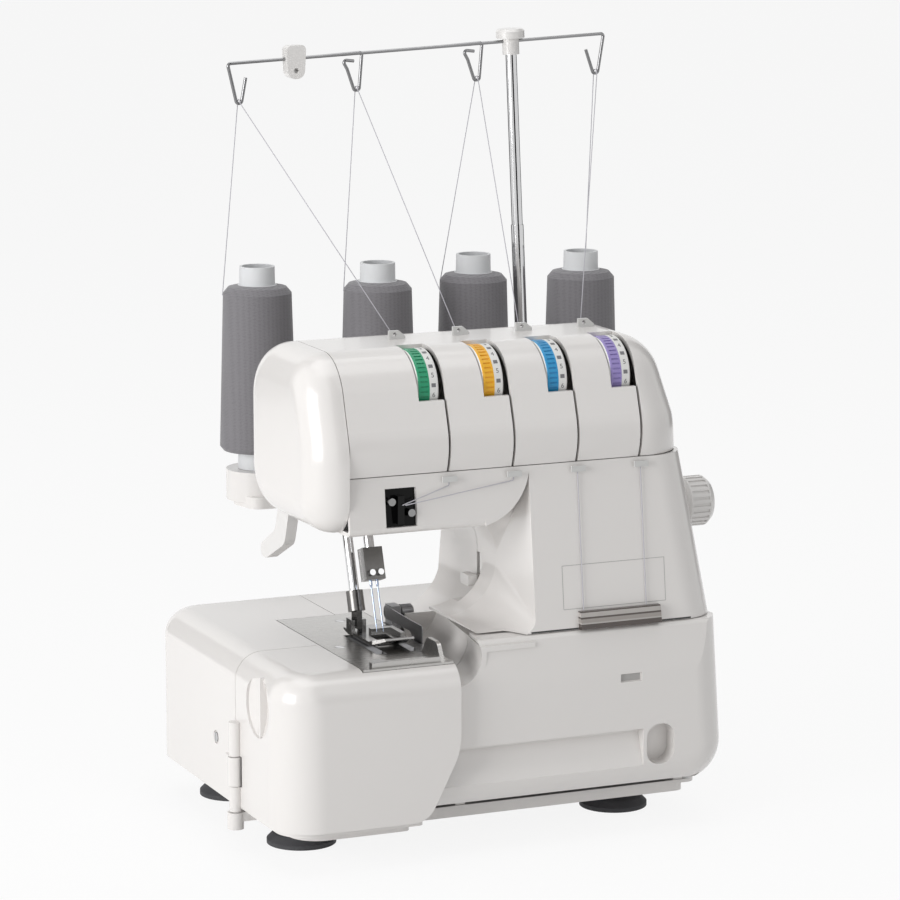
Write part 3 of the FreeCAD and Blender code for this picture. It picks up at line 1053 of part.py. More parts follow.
# Spool stand with four rests, pins, cones and windings.
stand = prism_z([(-90, 74, 8), (150, 66, 18), (150, 104, 18), (-78, 113, 14), (-96, 100, 12)], size("stand_top") - 7, size("stand_top"))
neck = box(72, 112, 0, 90, size("stand_top") - 14, size("stand_top") - 3)
stand = stand.fuse(neck)
for x, y in SPOOLS:
    stand = stand.fuse(rod((x, size(y), size("stand_top") - 4), (x, size(y), size("rest_top")), size("rest_radius")))
stand = stand.cut(arm_outer)
POLE_FOOT = V(size("pole_right"), size("pole_rear"), size("stand_top"))
pole_way = POLE_LEAN.multVec(V(0, 0, 1))
stand = stand.fuse(Part.makeCylinder(7, 6, POLE_FOOT - pole_way * 1, pole_way))
stand = stand.cut(Part.makeCylinder(size("pole_radius"), 60, POLE_FOOT, pole_way))
for x, y in SPOOLS:
    stand = stand.cut(rod((x, size(y), size("rest_top") - 10), (x, size(y), FAR), size("spool_pin_radius")))
plain("spool_stand", one_solid(stand))
pin_shape = turned("pin_shape", [("0", "rest_top - 10"), ("spool_pin_radius", "rest_top - 10"), ("spool_pin_radius", "300"),
                                 ("spool_pin_radius - 1.5", "304"), ("0", "304")], keep=False)
copies("spool_pins", pin_shape, [(x, size(y), 0) for x, y in SPOOLS])
for i, (x, y) in enumerate(SPOOLS, start=1):
    at = (str(x), y, "0")
    tube = turned("tube_shape_%d" % i, [
        ("spool_pin_radius + 0.6", "rest_top + fit_gap"), ("tube_low_radius", "rest_top + fit_gap"), ("tube_top_radius", "tube_top"),
        ("tube_top_radius - 1.5", "tube_top"), ("tube_low_radius - 1.5", "rest_top + 2"),
        ("spool_pin_radius + 0.6", "rest_top + 2")], at, keep=False)
    low_core = "tube_low_radius + fit_gap - (tube_low_radius - tube_top_radius) * (yarn_low - rest_top) / (tube_top - rest_top)"
    top_core = "tube_low_radius + fit_gap - (tube_low_radius - tube_top_radius) * (yarn_top - rest_top) / (tube_top - rest_top)"
    yarn = turned("yarn_shape_%d" % i, [
        (low_core, "yarn_low"), ("yarn_low_radius - 2", "yarn_low"), ("yarn_low_radius", "yarn_low + 2.5"),
        ("yarn_top_radius", "yarn_top - 5"), ("yarn_top_radius - 3", "yarn_top - 1.5"), (top_core, "yarn_top")], at, keep=False)
    doc.recompute()
    plain("thread_cone_%d" % i, Part.makeCompound([tube.Shape, yarn.Shape]))

# Telescopic pole with its guide bar, drawn upright and then leaned.
turned("pole_lower", [("pole_inner_radius + fit_gap", "0"), ("pole_radius", "0"), ("pole_radius", "pole_step"),
                      ("pole_inner_radius + fit_gap", "pole_step")], ("pole_right", "pole_rear", "stand_top"), POLE_LEAN)
turned("pole_upper", [("0", "pole_step - 50"), ("pole_inner_radius", "pole_step - 50"), ("pole_inner_radius", "pole_top"),
                      ("0", "pole_top")], ("pole_right", "pole_rear", "stand_top"), POLE_LEAN)
pole_cap = turned("cap_shape", [
    ("0", "pole_top"), ("5.2", "pole_top"), ("5.2", "guide_height + 2"), ("8.75", "guide_height + 2"),
    ("8.75", "guide_height + 6.2"), ("7.5", "guide_height + 7.5"), ("0", "guide_height + 7.5")],
    ("pole_right", "pole_rear", "stand_top"), POLE_LEAN, keep=False)
pocket(pole_cap, draw(pole_cap, "YZ_Plane", (), [("0", "guide_height", "guide_wire")], level="-20"), "40", back=True)
LEVEL = size("guide_height")
WIRE = size("guide_wire")
hooks = [bent_wire([(-172, 0, LEVEL), (-184, 0, LEVEL), (-179.5, 0, LEVEL - 24), (-176.5, 0, LEVEL - 24), (-173, 0, LEVEL - 9)], WIRE, 1.7),
         bent_wire([(46, 0, LEVEL), (63, 0, LEVEL), (58, 0, LEVEL - 24), (55, 0, LEVEL - 24), (50.5, 0, LEVEL - 9)], WIRE, 1.7)]
for x in (-102.5, -23.5):
    hooks.append(bent_wire([(x - 22, 0, LEVEL), (x + 4.5, 0, LEVEL + 0.4), (x + 1.6, 0, LEVEL - 22), (x - 1.6, 0, LEVEL - 22),
                            (x - 5.5, 0, LEVEL - 9), (x - 8.5, 0, LEVEL - 3.2), (x - 1, 0, LEVEL - 4.4)], WIRE, 1.5))
bar = rod((-173, 0, LEVEL), (47, 0, LEVEL), WIRE).fuse(hooks)
bar.Placement = FreeCAD.Placement(POLE_FOOT, POLE_LEAN)
plain("guide_bar", one_solid(bar))
clip_front = [(-147.5, LEVEL - 12, 5), (-137, LEVEL - 12, 5), (-135, LEVEL + 8, 3), (-147.5, LEVEL + 8, 3)]
clip = prism_y(clip_front, -4, 4).cut(rod((-160, 0, LEVEL), (-120, 0, LEVEL), WIRE))
clip = clip.cut(rod((-142, -20, LEVEL - 7), (-142, 20, LEVEL - 7), 1.6))
clip.Placement = FreeCAD.Placement(POLE_FOOT, POLE_LEAN)
doc.recompute()
plain("bar_fittings", Part.makeCompound([pole_cap.Shape, clip]))

# Threads: from each cone over the guide bar to the arm, then down to the
# needles and loopers.
THREAD = size("thread_radius")
WRAPPED = WIRE + THREAD + 1.1


def hook_spot(x, drop, back, up):
    """A point beside the bottom of a hook, in the leaned frame of the pole."""
    return POLE_FOOT + POLE_LEAN.multVec(V(x, back, LEVEL - drop + up))


HOOKS = ((-178, 24), (-102.5, 22), (-23.5, 22), (56.5, 24))
supply = []
for (x, y), (hook_x, drop), guide in zip(SPOOLS, HOOKS, TOP_GUIDES):
    start = V(x - size("yarn_top_radius") - 1.6, size(y), size("yarn_top") - 5.5)
    bends = [hook_spot(hook_x, drop, WRAPPED, 0), hook_spot(hook_x, drop, 0, WRAPPED),
             hook_spot(hook_x, drop, -WRAPPED, 0)]
    end = V(guide[0] - 1.5, guide[1] + 2.5, guide[2] + 2.8)
    supply.append(bent_wire([start] + bends + [end], THREAD, 0.8))
plain("supply_threads", Part.makeCompound(supply))
runs = []
for i, groove in enumerate(GROOVES):
    front_y = column_front(SEAM - 6) - 0.65
    start = V(groove, front_y, SEAM - 2.5)
    if i < 2:
        below = V(groove, front_y, SEAM - 7.7)
        run = bent_wire([start, below, V(-67 + 1.5 * i, -103 - 0.8 * i, 205)], THREAD, 0.8)
    else:
        end_z = guide_high + 0.5
        run = rod(start, (groove, column_front(end_z) - 1, end_z), THREAD)
    runs.append(run)
plain("thread_runs", Part.makeCompound(runs))

doc.recompute()
faults = []
for item in doc.Objects:
    if "Invalid" in item.State or "Error" in item.State:
        faults.append("%s: %s" % (item.Label, item.State))
for item in NODES:
    if item.Shape.isNull() or not item.Shape.isValid() or not item.Shape.Solids:
        faults.append("%s: shape is not a valid solid" % item.Label)
if faults:
    raise RuntimeError("; ".join(faults))
os.makedirs("parts", exist_ok=True)
for item in NODES:
    item.Shape.exportStep("parts/%s.step" % item.Label)
print("%d nodes" % len(NODES))
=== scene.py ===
import bpy
import math
from mathutils import Matrix, Vector
from mathutils.bvhtree import BVHTree


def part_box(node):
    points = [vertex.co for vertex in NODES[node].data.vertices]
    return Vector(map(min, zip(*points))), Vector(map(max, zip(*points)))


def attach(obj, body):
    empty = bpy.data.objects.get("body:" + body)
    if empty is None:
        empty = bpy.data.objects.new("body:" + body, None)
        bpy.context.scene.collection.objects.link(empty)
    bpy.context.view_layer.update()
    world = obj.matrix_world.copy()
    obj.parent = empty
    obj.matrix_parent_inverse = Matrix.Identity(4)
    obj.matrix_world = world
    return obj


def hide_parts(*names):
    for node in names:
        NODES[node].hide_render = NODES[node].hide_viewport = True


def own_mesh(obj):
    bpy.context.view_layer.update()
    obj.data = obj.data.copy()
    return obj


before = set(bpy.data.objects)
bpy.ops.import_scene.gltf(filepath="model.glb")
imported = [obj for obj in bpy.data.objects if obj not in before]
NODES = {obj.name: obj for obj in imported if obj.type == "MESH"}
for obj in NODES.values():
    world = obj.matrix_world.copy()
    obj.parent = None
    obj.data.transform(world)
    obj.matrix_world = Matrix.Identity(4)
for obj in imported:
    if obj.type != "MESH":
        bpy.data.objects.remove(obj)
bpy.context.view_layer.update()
MM = 0.001
scene = bpy.context.scene
scene.view_settings.view_transform = "Standard"


def add_object(name, data):
    item = bpy.data.objects.new(name, data)
    scene.collection.objects.link(item)
    return item


def aim(item, target):
    item.rotation_euler = (target - item.location).to_track_quat("-Z", "Y").to_euler()


# Camera and lamps.
CAMERA_AT = Vector((-0.88173, -2.05352, 0.62627))
LOOK_AT = Vector((-0.01432, -0.048, 0.22334))
LENS_LENGTH = 153.76
LENS_SENSOR = 36
LAMPS_AT = Vector((0, 0, 0.2))
camera_data = bpy.data.cameras.new("camera")
camera_data.sensor_width = LENS_SENSOR
camera_data.lens = LENS_LENGTH
camera = add_object("camera", camera_data)
camera.location = CAMERA_AT
aim(camera, LOOK_AT)
scene.camera = camera


def add_lamp(name, spot, power, side):
    data = bpy.data.lights.new(name, "AREA")
    data.energy = power
    data.size = side
    lamp = add_object(name, data)
    lamp.location = spot
    aim(lamp, LAMPS_AT)


add_lamp("left_softbox", (-1.9, -0.6, 0.6), 24, 1.1)
add_lamp("front_softbox", (0.4, -2.0, 1.2), 3, 1.4)
add_lamp("top_softbox", (0.0, 0.1, 2.0), 13, 1.6)


# Shader helpers.
def math_node(tree, operation, *values):
    """One operation on values, each of them a number or the socket that feeds it."""
    node = tree.nodes.new("ShaderNodeMath")
    node.operation = operation
    for socket, value in zip(node.inputs, values):
        if isinstance(value, bpy.types.NodeSocket):
            tree.links.new(value, socket)
        else:
            socket.default_value = value
    return node.outputs[0]


def mix_colours(tree, factor, first, second):
    """The first colour where the factor is 0 and the second where it is 1."""
    node = tree.nodes.new("ShaderNodeMix")
    node.data_type = "RGBA"
    tree.links.new(factor, node.inputs["Factor"])
    for side, colour in (("A", first), ("B", second)):
        if isinstance(colour, bpy.types.NodeSocket):
            tree.links.new(colour, node.inputs[side])
        else:
            node.inputs[side].default_value = (*colour, 1)
    return node.outputs["Result"]


def object_place(tree):
    """The place on the object, in its own metres."""
    return tree.nodes.new("ShaderNodeTexCoord").outputs["Object"]


def split_place(tree, place):
    split = tree.nodes.new("ShaderNodeSeparateXYZ")
    tree.links.new(place, split.inputs[0])
    return split.outputs


def add_relief(tree, shader, height, strength):
    relief = tree.nodes.new("ShaderNodeBump")
    relief.inputs["Strength"].default_value = strength
    relief.inputs["Distance"].default_value = RELIEF_DEEP
    tree.links.new(height, relief.inputs["Height"])
    tree.links.new(relief.outputs[0], shader.inputs["Normal"])


def bright_to_lens(tree, shade, seen, share=1.0):
    """White where the lens, a reflection or a refraction looks; another shade elsewhere."""
    path = tree.nodes.new("ShaderNodeLightPath")
    looks = math_node(tree, "MAXIMUM", path.outputs["Is Camera Ray"], path.outputs["Is Glossy Ray"])
    looks = math_node(tree, "MAXIMUM", looks, path.outputs["Is Transmission Ray"])
    mix = tree.nodes.new("ShaderNodeMixShader")
    tree.links.new(math_node(tree, "MULTIPLY", looks, share), mix.inputs[0])
    tree.links.new(shade.outputs[0], mix.inputs[1])
    tree.links.new(seen.outputs[0], mix.inputs[2])
    return mix


# Studio: dim light from all round, which is seen as white.
ROUND_LIGHT = 0.38
world = bpy.data.worlds.new("studio")
scene.world = world
world.use_nodes = True
studio = world.node_tree
dim = studio.nodes["Background"]
dim.inputs["Color"].default_value = (1, 1, 1, 1)
dim.inputs["Strength"].default_value = ROUND_LIGHT
white = studio.nodes.new("ShaderNodeBackground")
white.inputs["Color"].default_value = (1, 1, 1, 1)
white.inputs["Strength"].default_value = 1.0
mixed = bright_to_lens(studio, dim, white)
studio.links.new(mixed.outputs[0], studio.nodes["World Output"].inputs["Surface"])

# Plain finishes.
RELIEF_DEEP = 0.2 * MM
COAT_ROUGH = 0.08
ROUGH_LEAST, ROUGH_MOST = 0.85, 1.15
BRUSH_RELIEF = 0.12


def new_material(name):
    material = bpy.data.materials.new(name)
    material.use_nodes = True
    return material, material.node_tree, material.node_tree.nodes["Principled BSDF"]


def finish_of(name, colour, rough, metal=0.0, coat=0.0, bump=0.0, grain=900.0, clear=0.0, sheen=0.0,
              stretch=None):
    """A plain finish with a fine grain in its roughness and, where asked, its surface."""
    material, tree, shader = new_material(name)
    shader.inputs["Base Color"].default_value = (*colour, 1)
    shader.inputs["Metallic"].default_value = metal
    shader.inputs["Coat Weight"].default_value = coat
    shader.inputs["Coat Roughness"].default_value = COAT_ROUGH
    shader.inputs["Transmission Weight"].default_value = clear
    shader.inputs["Sheen Weight"].default_value = sheen
    place = object_place(tree)
    if stretch:
        mapping = tree.nodes.new("ShaderNodeMapping")
        mapping.inputs["Scale"].default_value = stretch
        tree.links.new(place, mapping.inputs["Vector"])
        place = mapping.outputs[0]
    noise = tree.nodes.new("ShaderNodeTexNoise")
    noise.inputs["Scale"].default_value = grain
    noise.inputs["Detail"].default_value = 3
    tree.links.new(place, noise.inputs["Vector"])
    span = tree.nodes.new("ShaderNodeMapRange")
    span.inputs["To Min"].default_value = rough * ROUGH_LEAST
    span.inputs["To Max"].default_value = rough * ROUGH_MOST
    tree.links.new(noise.outputs["Fac"], span.inputs["Value"])
    tree.links.new(span.outputs[0], shader.inputs["Roughness"])
    if bump:
        add_relief(tree, shader, noise.outputs["Fac"], bump)
    return material


def brushed(name, colour, rough, stretch):
    """Metal brushed along one way: the grain is long where the stretch is small."""
    return finish_of(name, colour, rough, metal=1.0, bump=BRUSH_RELIEF, grain=1.0, stretch=stretch)


def band_colours(material, axis, edges, colours):
    """Colours in bands along one axis of the object: colours[0] before edges[0], and so on."""
    tree = material.node_tree
    along = split_place(tree, object_place(tree))[axis]
    shade = colours[0]
    for edge, colour in zip(edges, colours[1:]):
        past = math_node(tree, "GREATER_THAN", along, edge)
        shade = mix_colours(tree, past, shade, colour)
    tree.links.new(shade, tree.nodes["Principled BSDF"].inputs["Base Color"])


white_shell = finish_of("white_shell", (0.78, 0.757, 0.738), 0.24, coat=0.35)
white_fitting = finish_of("white_fitting", (0.76, 0.745, 0.73), 0.3, coat=0.2)
dark_plastic = finish_of("dark_plastic", (0.03, 0.03, 0.032), 0.4)
grey_fitting = finish_of("grey_fitting", (0.22, 0.22, 0.23), 0.42)
pale_fitting = finish_of("pale_fitting", (0.62, 0.62, 0.61), 0.35)
foot_rubber = finish_of("foot_rubber", (0.055, 0.055, 0.06), 0.7, bump=0.5, grain=1500)
belt_rubber = finish_of("belt_rubber", (0.02, 0.02, 0.02), 0.6)
plate_steel = brushed("plate_steel", (0.50, 0.49, 0.475), 0.28, (60, 3500, 60))
bright_steel = brushed("bright_steel", (0.36, 0.355, 0.35), 0.22, (1800, 1800, 90))
dark_steel = brushed("dark_steel", (0.17, 0.165, 0.16), 0.24, (1800, 1800, 90))
tool_steel = brushed("tool_steel", (0.30, 0.30, 0.31), 0.3, (200, 2200, 200))
chrome = finish_of("chrome", (0.66, 0.66, 0.665), 0.08, metal=1.0)
wire_steel = finish_of("wire_steel", (0.26, 0.26, 0.265), 0.2, metal=1.0)
blue_steel = finish_of("blue_steel", (0.45, 0.52, 0.66), 0.16, metal=1.0)
casting = finish_of("casting", (0.36, 0.36, 0.37), 0.5, metal=0.85, bump=0.5, grain=500)
motor_paint = finish_of("motor_paint", (0.05, 0.05, 0.055), 0.4, coat=0.2)
thread_fibre = finish_of("thread_fibre", (0.50, 0.49, 0.53), 0.85, sheen=0.3)
# Painted shade for the seam at the column's foot.
seam_shade_paint = finish_of("seam_shade_paint", (0.05, 0.05, 0.05), 0.6)
pale_line = finish_of("pale_line", (0.42, 0.41, 0.40), 0.5)
print_grey = finish_of("print_grey", (0.18, 0.18, 0.19), 0.5)

# The clear guide above the looper cover, with painted shade at its edges and along its middle rib, and
# painted highlight bands between them.
SMOKE = (0.52, 0.48, 0.45)
# Painted shade for the guide's edges and rib.
SMOKE_SHADE = (0.14, 0.115, 0.105)
# Painted highlight for the guide's bright bands.
SMOKE_HIGHLIGHT = (0.72, 0.68, 0.65)
SMOKE_LEVELS = (3.2, 4.0, 6.2, 7.2, 9.7)
smoky = finish_of("smoky_clear", SMOKE, 0.08, clear=0.4)
guide_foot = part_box("looper_thread_guide")[0][2]
smoke_edges = [guide_foot + level * MM for level in SMOKE_LEVELS]
band_colours(smoky, "Z", smoke_edges, (SMOKE_SHADE, SMOKE_HIGHLIGHT, SMOKE, SMOKE_SHADE, SMOKE_HIGHLIGHT, SMOKE_SHADE))

# The thread cones: the yarn's colours, its lowest and highest point, and how it is wound.
TUBE_GREY = (0.70, 0.71, 0.72)
YARN_GREY = (0.205, 0.198, 0.21)
YARN_SHADE = (0.135, 0.13, 0.14)
YARN_LOW, YARN_HIGH = 204.2 * MM, 304.8 * MM
WINDING_LEAN = math.radians(9)
WINDING_PITCH = 0.85 * MM
WINDING_RELIEF = 0.3
# The wave's length at a scale of 1.
WAVE_PERIOD = math.pi / 10


def winding(tree, place, lean):
    """Light and dark turns of thread that lean one way."""
    tilt = tree.nodes.new("ShaderNodeMapping")
    tilt.inputs["Rotation"].default_value = (0, lean, 0)
    tree.links.new(place, tilt.inputs["Vector"])
    wave = tree.nodes.new("ShaderNodeTexWave")
    wave.bands_direction = "Z"
    wave.inputs["Scale"].default_value = WAVE_PERIOD / WINDING_PITCH
    wave.inputs["Distortion"].default_value = 2.5
    wave.inputs["Detail"].default_value = 2
    wave.inputs["Detail Scale"].default_value = 3
    tree.links.new(tilt.outputs[0], wave.inputs["Vector"])
    return wave.outputs["Fac"]


def wound_material():
    """Thread wound crosswise on a pale plastic cone, told apart by height."""
    material, tree, shader = new_material("wound_thread")
    shader.inputs["Roughness"].default_value = 0.75
    shader.inputs["Sheen Weight"].default_value = 0.25
    place = object_place(tree)
    rising, falling = winding(tree, place, WINDING_LEAN), winding(tree, place, -WINDING_LEAN)
    crossed = math_node(tree, "MAXIMUM", rising, falling)
    fibre = mix_colours(tree, crossed, YARN_SHADE, YARN_GREY)
    level = split_place(tree, place)["Z"]
    inside = math_node(tree, "COMPARE", level, (YARN_LOW + YARN_HIGH) / 2, (YARN_HIGH - YARN_LOW) / 2)
    tree.links.new(mix_colours(tree, inside, TUBE_GREY, fibre), shader.inputs["Base Color"])
    add_relief(tree, shader, math_node(tree, "MULTIPLY", crossed, inside), WINDING_RELIEF)
    return material


wound = wound_material()

# The column's front face: how far forward it is at its foot and at its top, and its lean.
FRONT_LOW, LOW_LEVEL = 109 * MM, 124.5 * MM
FRONT_HIGH, HIGH_LEVEL = 97.5 * MM, 221 * MM
FRONT_LEAN = (FRONT_LOW - FRONT_HIGH) / (HIGH_LEVEL - LOW_LEVEL)
# The take-up in its opening: the back plate's depth, which is painted black as the opening's shade, and the
# lever between the two pins.
TAKE_UP_STEEL = (0.30, 0.30, 0.30)
# Black for the lever, and the painted shade of the back plate.
TAKE_UP_BLACK_AND_SHADE = (0.02, 0.02, 0.02)
PLATE_DEPTH = 2.3 * MM
LEVER_MIDDLE = -67.5 * MM
LEVER_HALF = 2.3 * MM


def take_up_material():
    """Bright pins beside a black lever, before a back plate that leans with the casing's front and is
    painted black as the shade inside the opening.
    """
    material = finish_of("take_up_steel_and_shade", TAKE_UP_STEEL, 0.16, metal=1.0)
    tree = material.node_tree
    place = object_place(tree)
    depth = tree.nodes.new("ShaderNodeVectorMath")
    depth.operation = "DOT_PRODUCT"
    depth.inputs[1].default_value = (0, 1, -FRONT_LEAN)
    tree.links.new(place, depth.inputs[0])
    plate_front = -FRONT_LOW - FRONT_LEAN * LOW_LEVEL + PLATE_DEPTH
    # Painted shade: the plate and everything behind its front turn black.
    behind = math_node(tree, "GREATER_THAN", depth.outputs["Value"], plate_front)
    lever = math_node(tree, "COMPARE", split_place(tree, place)["X"], LEVER_MIDDLE, LEVER_HALF)
    dark = math_node(tree, "MAXIMUM", behind, lever)
    shade = mix_colours(tree, dark, TAKE_UP_STEEL, TAKE_UP_BLACK_AND_SHADE)
    tree.links.new(shade, tree.nodes["Principled BSDF"].inputs["Base Color"])
    return material


take_up_steel_and_shade = take_up_material()

# Which sub-part wears which finish.
NODE_FINISH = {
    white_shell: ("bed_casing", "swing_cover", "rear_casing", "front_casing", "tension_cover", "face_cover",
                  "looper_cover", "waste_chute", "spool_stand", "base_tray"),
    white_fitting: ("handwheel", "presser_lifter", "feed_lever", "bar_fittings", "hinge_pin", "spool_pins"),
    grey_fitting: ("main_pulley", "motor_pulley"),
    pale_fitting: ("thread_guides",),
    dark_plastic: ("power_inlet", "power_switch"),
    smoky: ("looper_thread_guide",),
    foot_rubber: ("rubber_feet",),
    belt_rubber: ("drive_belt",),
    plate_steel: ("needle_plate", "fabric_guard"),
    bright_steel: ("presser_foot", "tension_discs", "tension_bracket", "shaft_bushes"),
    dark_steel: ("needle_clamp", "presser_ankle"),
    chrome: ("cover_screws", "clamp_screws", "needle_bar", "presser_bar",
             "pole_lower", "pole_upper", "cover_rod", "main_shaft"),
    take_up_steel_and_shade: ("take_up_guide",),
    wire_steel: ("guide_bar",),
    blue_steel: ("needles",),
    casting: ("machine_frame",),
    tool_steel: ("lower_knife", "upper_knife", "lower_looper", "upper_looper", "feed_dogs"),
    motor_paint: ("motor",),
    thread_fibre: ("supply_threads", "thread_runs"),
    wound: ("thread_cone_1", "thread_cone_2", "thread_cone_3", "thread_cone_4"),
}


def wear(item, material):
    item.data.materials.clear()
    item.data.materials.append(material)


for material, names in NODE_FINISH.items():
    for name in names:
        wear(NODES[name], material)

# Tension dials: a coloured ribbed band beside a white band with numbers and square marks.
DIAL_COLOURS = {
    "left_needle": (0.015, 0.31, 0.15),
    "right_needle": (0.86, 0.45, 0.02),
    "upper_looper": (0.02, 0.29, 0.58),
    "lower_looper": (0.31, 0.25, 0.55),
}
DIAL_WHITE = (0.78, 0.78, 0.76)
RIB_START, RIB_END = 0.5 * MM, 7.4 * MM
NUMBERS_FROM_EDGE = 9.8 * MM
DIGIT_TALL, DIGIT_DEEP = 3.9 * MM, 0.03 * MM
DIGIT_STEP = 30
SHOWN_DIGIT, SHOWN_TURN = 4, -54.2
MARK_WIDE, MARK_TALL = 2.6 * MM, 2.2 * MM
MARK_CORNERS = ((-0.5, -0.5), (0.5, -0.5), (0.5, 0.5), (-0.5, 0.5))
LIFT = 0.05 * MM
ACROSS = Vector((1, 0, 0))


def out_at(degrees):
    """The way out of a dial at a turn from its front."""
    turn = math.radians(degrees)
    return Vector((0, -math.cos(turn), -math.sin(turn)))


def number_on(name, digit, middle, out):
    text = bpy.data.curves.new("number", "FONT")
    text.body = str(digit)
    text.size = DIGIT_TALL
    text.extrude = DIGIT_DEEP
    text.align_x = "CENTER"
    text.align_y = "CENTER"
    number = add_object(name, text)
    turned = Matrix((ACROSS, out.cross(ACROSS), out)).transposed().to_4x4()
    number.matrix_world = Matrix.Translation(middle) @ turned
    return number


def mark_on(name, middle, out):
    up = out.cross(ACROSS)
    corners = [middle + ACROSS * (MARK_WIDE * side) + up * (MARK_TALL * level)
               for side, level in MARK_CORNERS]
    mesh = bpy.data.meshes.new("mark")
    mesh.from_pydata(corners, [], [(0, 1, 2, 3)])
    return add_object(name, mesh)


for key, colour in DIAL_COLOURS.items():
    name = "tension_dial_" + key
    low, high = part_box(name)
    material = finish_of("dial_" + key, colour, 0.35)
    band_colours(material, "X", (low[0] + RIB_START, low[0] + RIB_END), (DIAL_WHITE, colour, DIAL_WHITE))
    wear(NODES[name], material)
    centre = Vector((low[0] + NUMBERS_FROM_EDGE, (low[1] + high[1]) / 2, (low[2] + high[2]) / 2))
    radius = (high[2] - low[2]) / 2 + LIFT
    for digit in range(10):
        turn = SHOWN_TURN + DIGIT_STEP * (digit - SHOWN_DIGIT)
        out = out_at(turn)
        number = number_on("%s_number_%d" % (name, digit), digit, centre + out * radius, out)
        wear(number, print_grey)
        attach(number, name)
        out = out_at(turn + DIGIT_STEP / 2)
        mark = mark_on("%s_mark_%d" % (name, digit), centre + out * radius, out)
        wear(mark, print_grey)
        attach(mark, name)

# Lines and the window, laid on the faces that carry them.
RIBBON_STEP = 2 * MM


def laid_on(node):
    """A finder of the node's front face: the point seen straight from the front at x and z."""
    mesh = NODES[node].data
    surface = BVHTree.FromPolygons([v.co for v in mesh.vertices], [p.vertices for p in mesh.polygons])

    def find(x, z):
        spot = surface.ray_cast(Vector((x, -1, z)), Vector((0, 1, 0)))[0]
        return spot - Vector((0, LIFT, 0))
    return find


def ribbon(name, find, corners, wide, material, body):
    """A thin line laid on a face along corners given in x and z."""
    edge_points, faces = [], []
    for (x0, z0), (x1, z1) in zip(corners, corners[1:]):
        way = Vector((x1 - x0, z1 - z0)).normalized() * (wide / 2)
        first = len(edge_points)
        steps = max(1, round(math.hypot(x1 - x0, z1 - z0) / RIBBON_STEP))
        for i in range(steps + 1):
            x = x0 + (x1 - x0) * i / steps
            z = z0 + (z1 - z0) * i / steps
            edge_points.append(find(x - way.y, z + way.x))
            edge_points.append(find(x + way.y, z - way.x))
        for i in range(steps):
            k = first + 2 * i
            faces.append((k, k + 1, k + 3, k + 2))
    mesh = bpy.data.meshes.new(name)
    mesh.from_pydata(edge_points, [], faces)
    line = add_object(name, mesh)
    wear(line, material)
    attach(line, body)


on_front = laid_on("front_casing")
PANEL_LEFT, PANEL_RIGHT = 31 * MM, 96 * MM
PANEL_LOW, PANEL_HIGH = 137 * MM, 162 * MM
PANEL_LINE = 0.35 * MM
panel = [(PANEL_LEFT, PANEL_LOW), (PANEL_LEFT, PANEL_HIGH), (PANEL_RIGHT, PANEL_HIGH),
         (PANEL_RIGHT, PANEL_LOW), (PANEL_LEFT, PANEL_LOW)]
ribbon("panel_outline", on_front, panel, PANEL_LINE, pale_line, "machine")
# A dark line painted along the front casing's foot, standing in for the shade in the seam below it.
SEAM_ENDS = (10 * MM, 112 * MM)
SEAM_RISE, SEAM_TALL = 0.6 * MM, 1.0 * MM
seam_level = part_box("front_casing")[0][2] + SEAM_RISE
seam = [(x, seam_level) for x in SEAM_ENDS]
ribbon("column_seam_shade", on_front, seam, SEAM_TALL, seam_shade_paint, "machine")

on_cover = laid_on("looper_cover")
WINDOW_ENDS = (65.7 * MM, 77.8 * MM)
WINDOW_LEVEL, WINDOW_TALL = 94.5 * MM, 4.0 * MM
window = [(x, WINDOW_LEVEL) for x in WINDOW_ENDS]
ribbon("cover_window", on_cover, window, WINDOW_TALL, pale_line, "looper_cover")

# Threads: each rises from its cone, wraps over its hook and falls to its guide on the arm.
THREAD_RADIUS = 0.28 * MM
POLE_FOOT = Vector((98, 92, 178.5)) * MM
POLE_LEAN = Matrix.Rotation(math.radians(-2.47), 3, "Y")
# Each hook's place along the guide bar and its drop below it, and the bar's level, in millimetres.
HOOKS = ((-178, 24), (-102.5, 22), (-23.5, 22), (56.5, 24))
GUIDE_LEVEL = 268
WRAPPED = 2.4
WRAP_STEPS = 6
# The grooves beside the guides on the arm's top, and the guides' eyes from them, in millimetres.
GROOVES = (-37, 3, 43, 83)
ARM_TOP = 288.5
EYE_SIDE, EYE_FRONT, EYE_RISE = -7.5, -33.5, 2.8
# Where the thread leaves each cone.
CONE_SIDE = 22.3 * MM
CONE_RISE = 299.5 * MM
LEAVES_LEFT = Vector((-1, 0, 0))
LEAVES_BEHIND = Vector((0.53, 0.85, 0))
LEAVING = (LEAVES_LEFT, LEAVES_LEFT, LEAVES_LEFT, LEAVES_BEHIND)


def tube_mesh(name, points, radius, sides=8):
    """A closed round tube through points."""
    ring_corners, faces = [], []
    for i, spot in enumerate(points):
        before = points[max(i - 1, 0)]
        after = points[min(i + 1, len(points) - 1)]
        way = (after - before).normalized()
        across = way.orthogonal().normalized() if i == 0 else (across - way * across.dot(way)).normalized()
        other = way.cross(across)
        for k in range(sides):
            turn = 2 * math.pi * k / sides
            ring_corners.append(spot + (across * math.cos(turn) + other * math.sin(turn)) * radius)
    for i in range(len(points) - 1):
        for k in range(sides):
            low, high = i * sides, (i + 1) * sides
            faces.append((low + k, low + (k + 1) % sides, high + (k + 1) % sides, high + k))
    faces.append(tuple(reversed(range(sides))))
    faces.append(tuple(range(len(ring_corners) - sides, len(ring_corners))))
    mesh = bpy.data.meshes.new(name)
    mesh.from_pydata(ring_corners, [], faces)
    mesh.shade_smooth()
    return mesh


def thread_piece(name, points):
    piece = add_object(name, tube_mesh(name, points, THREAD_RADIUS))
    wear(piece, thread_fibre)
    return piece


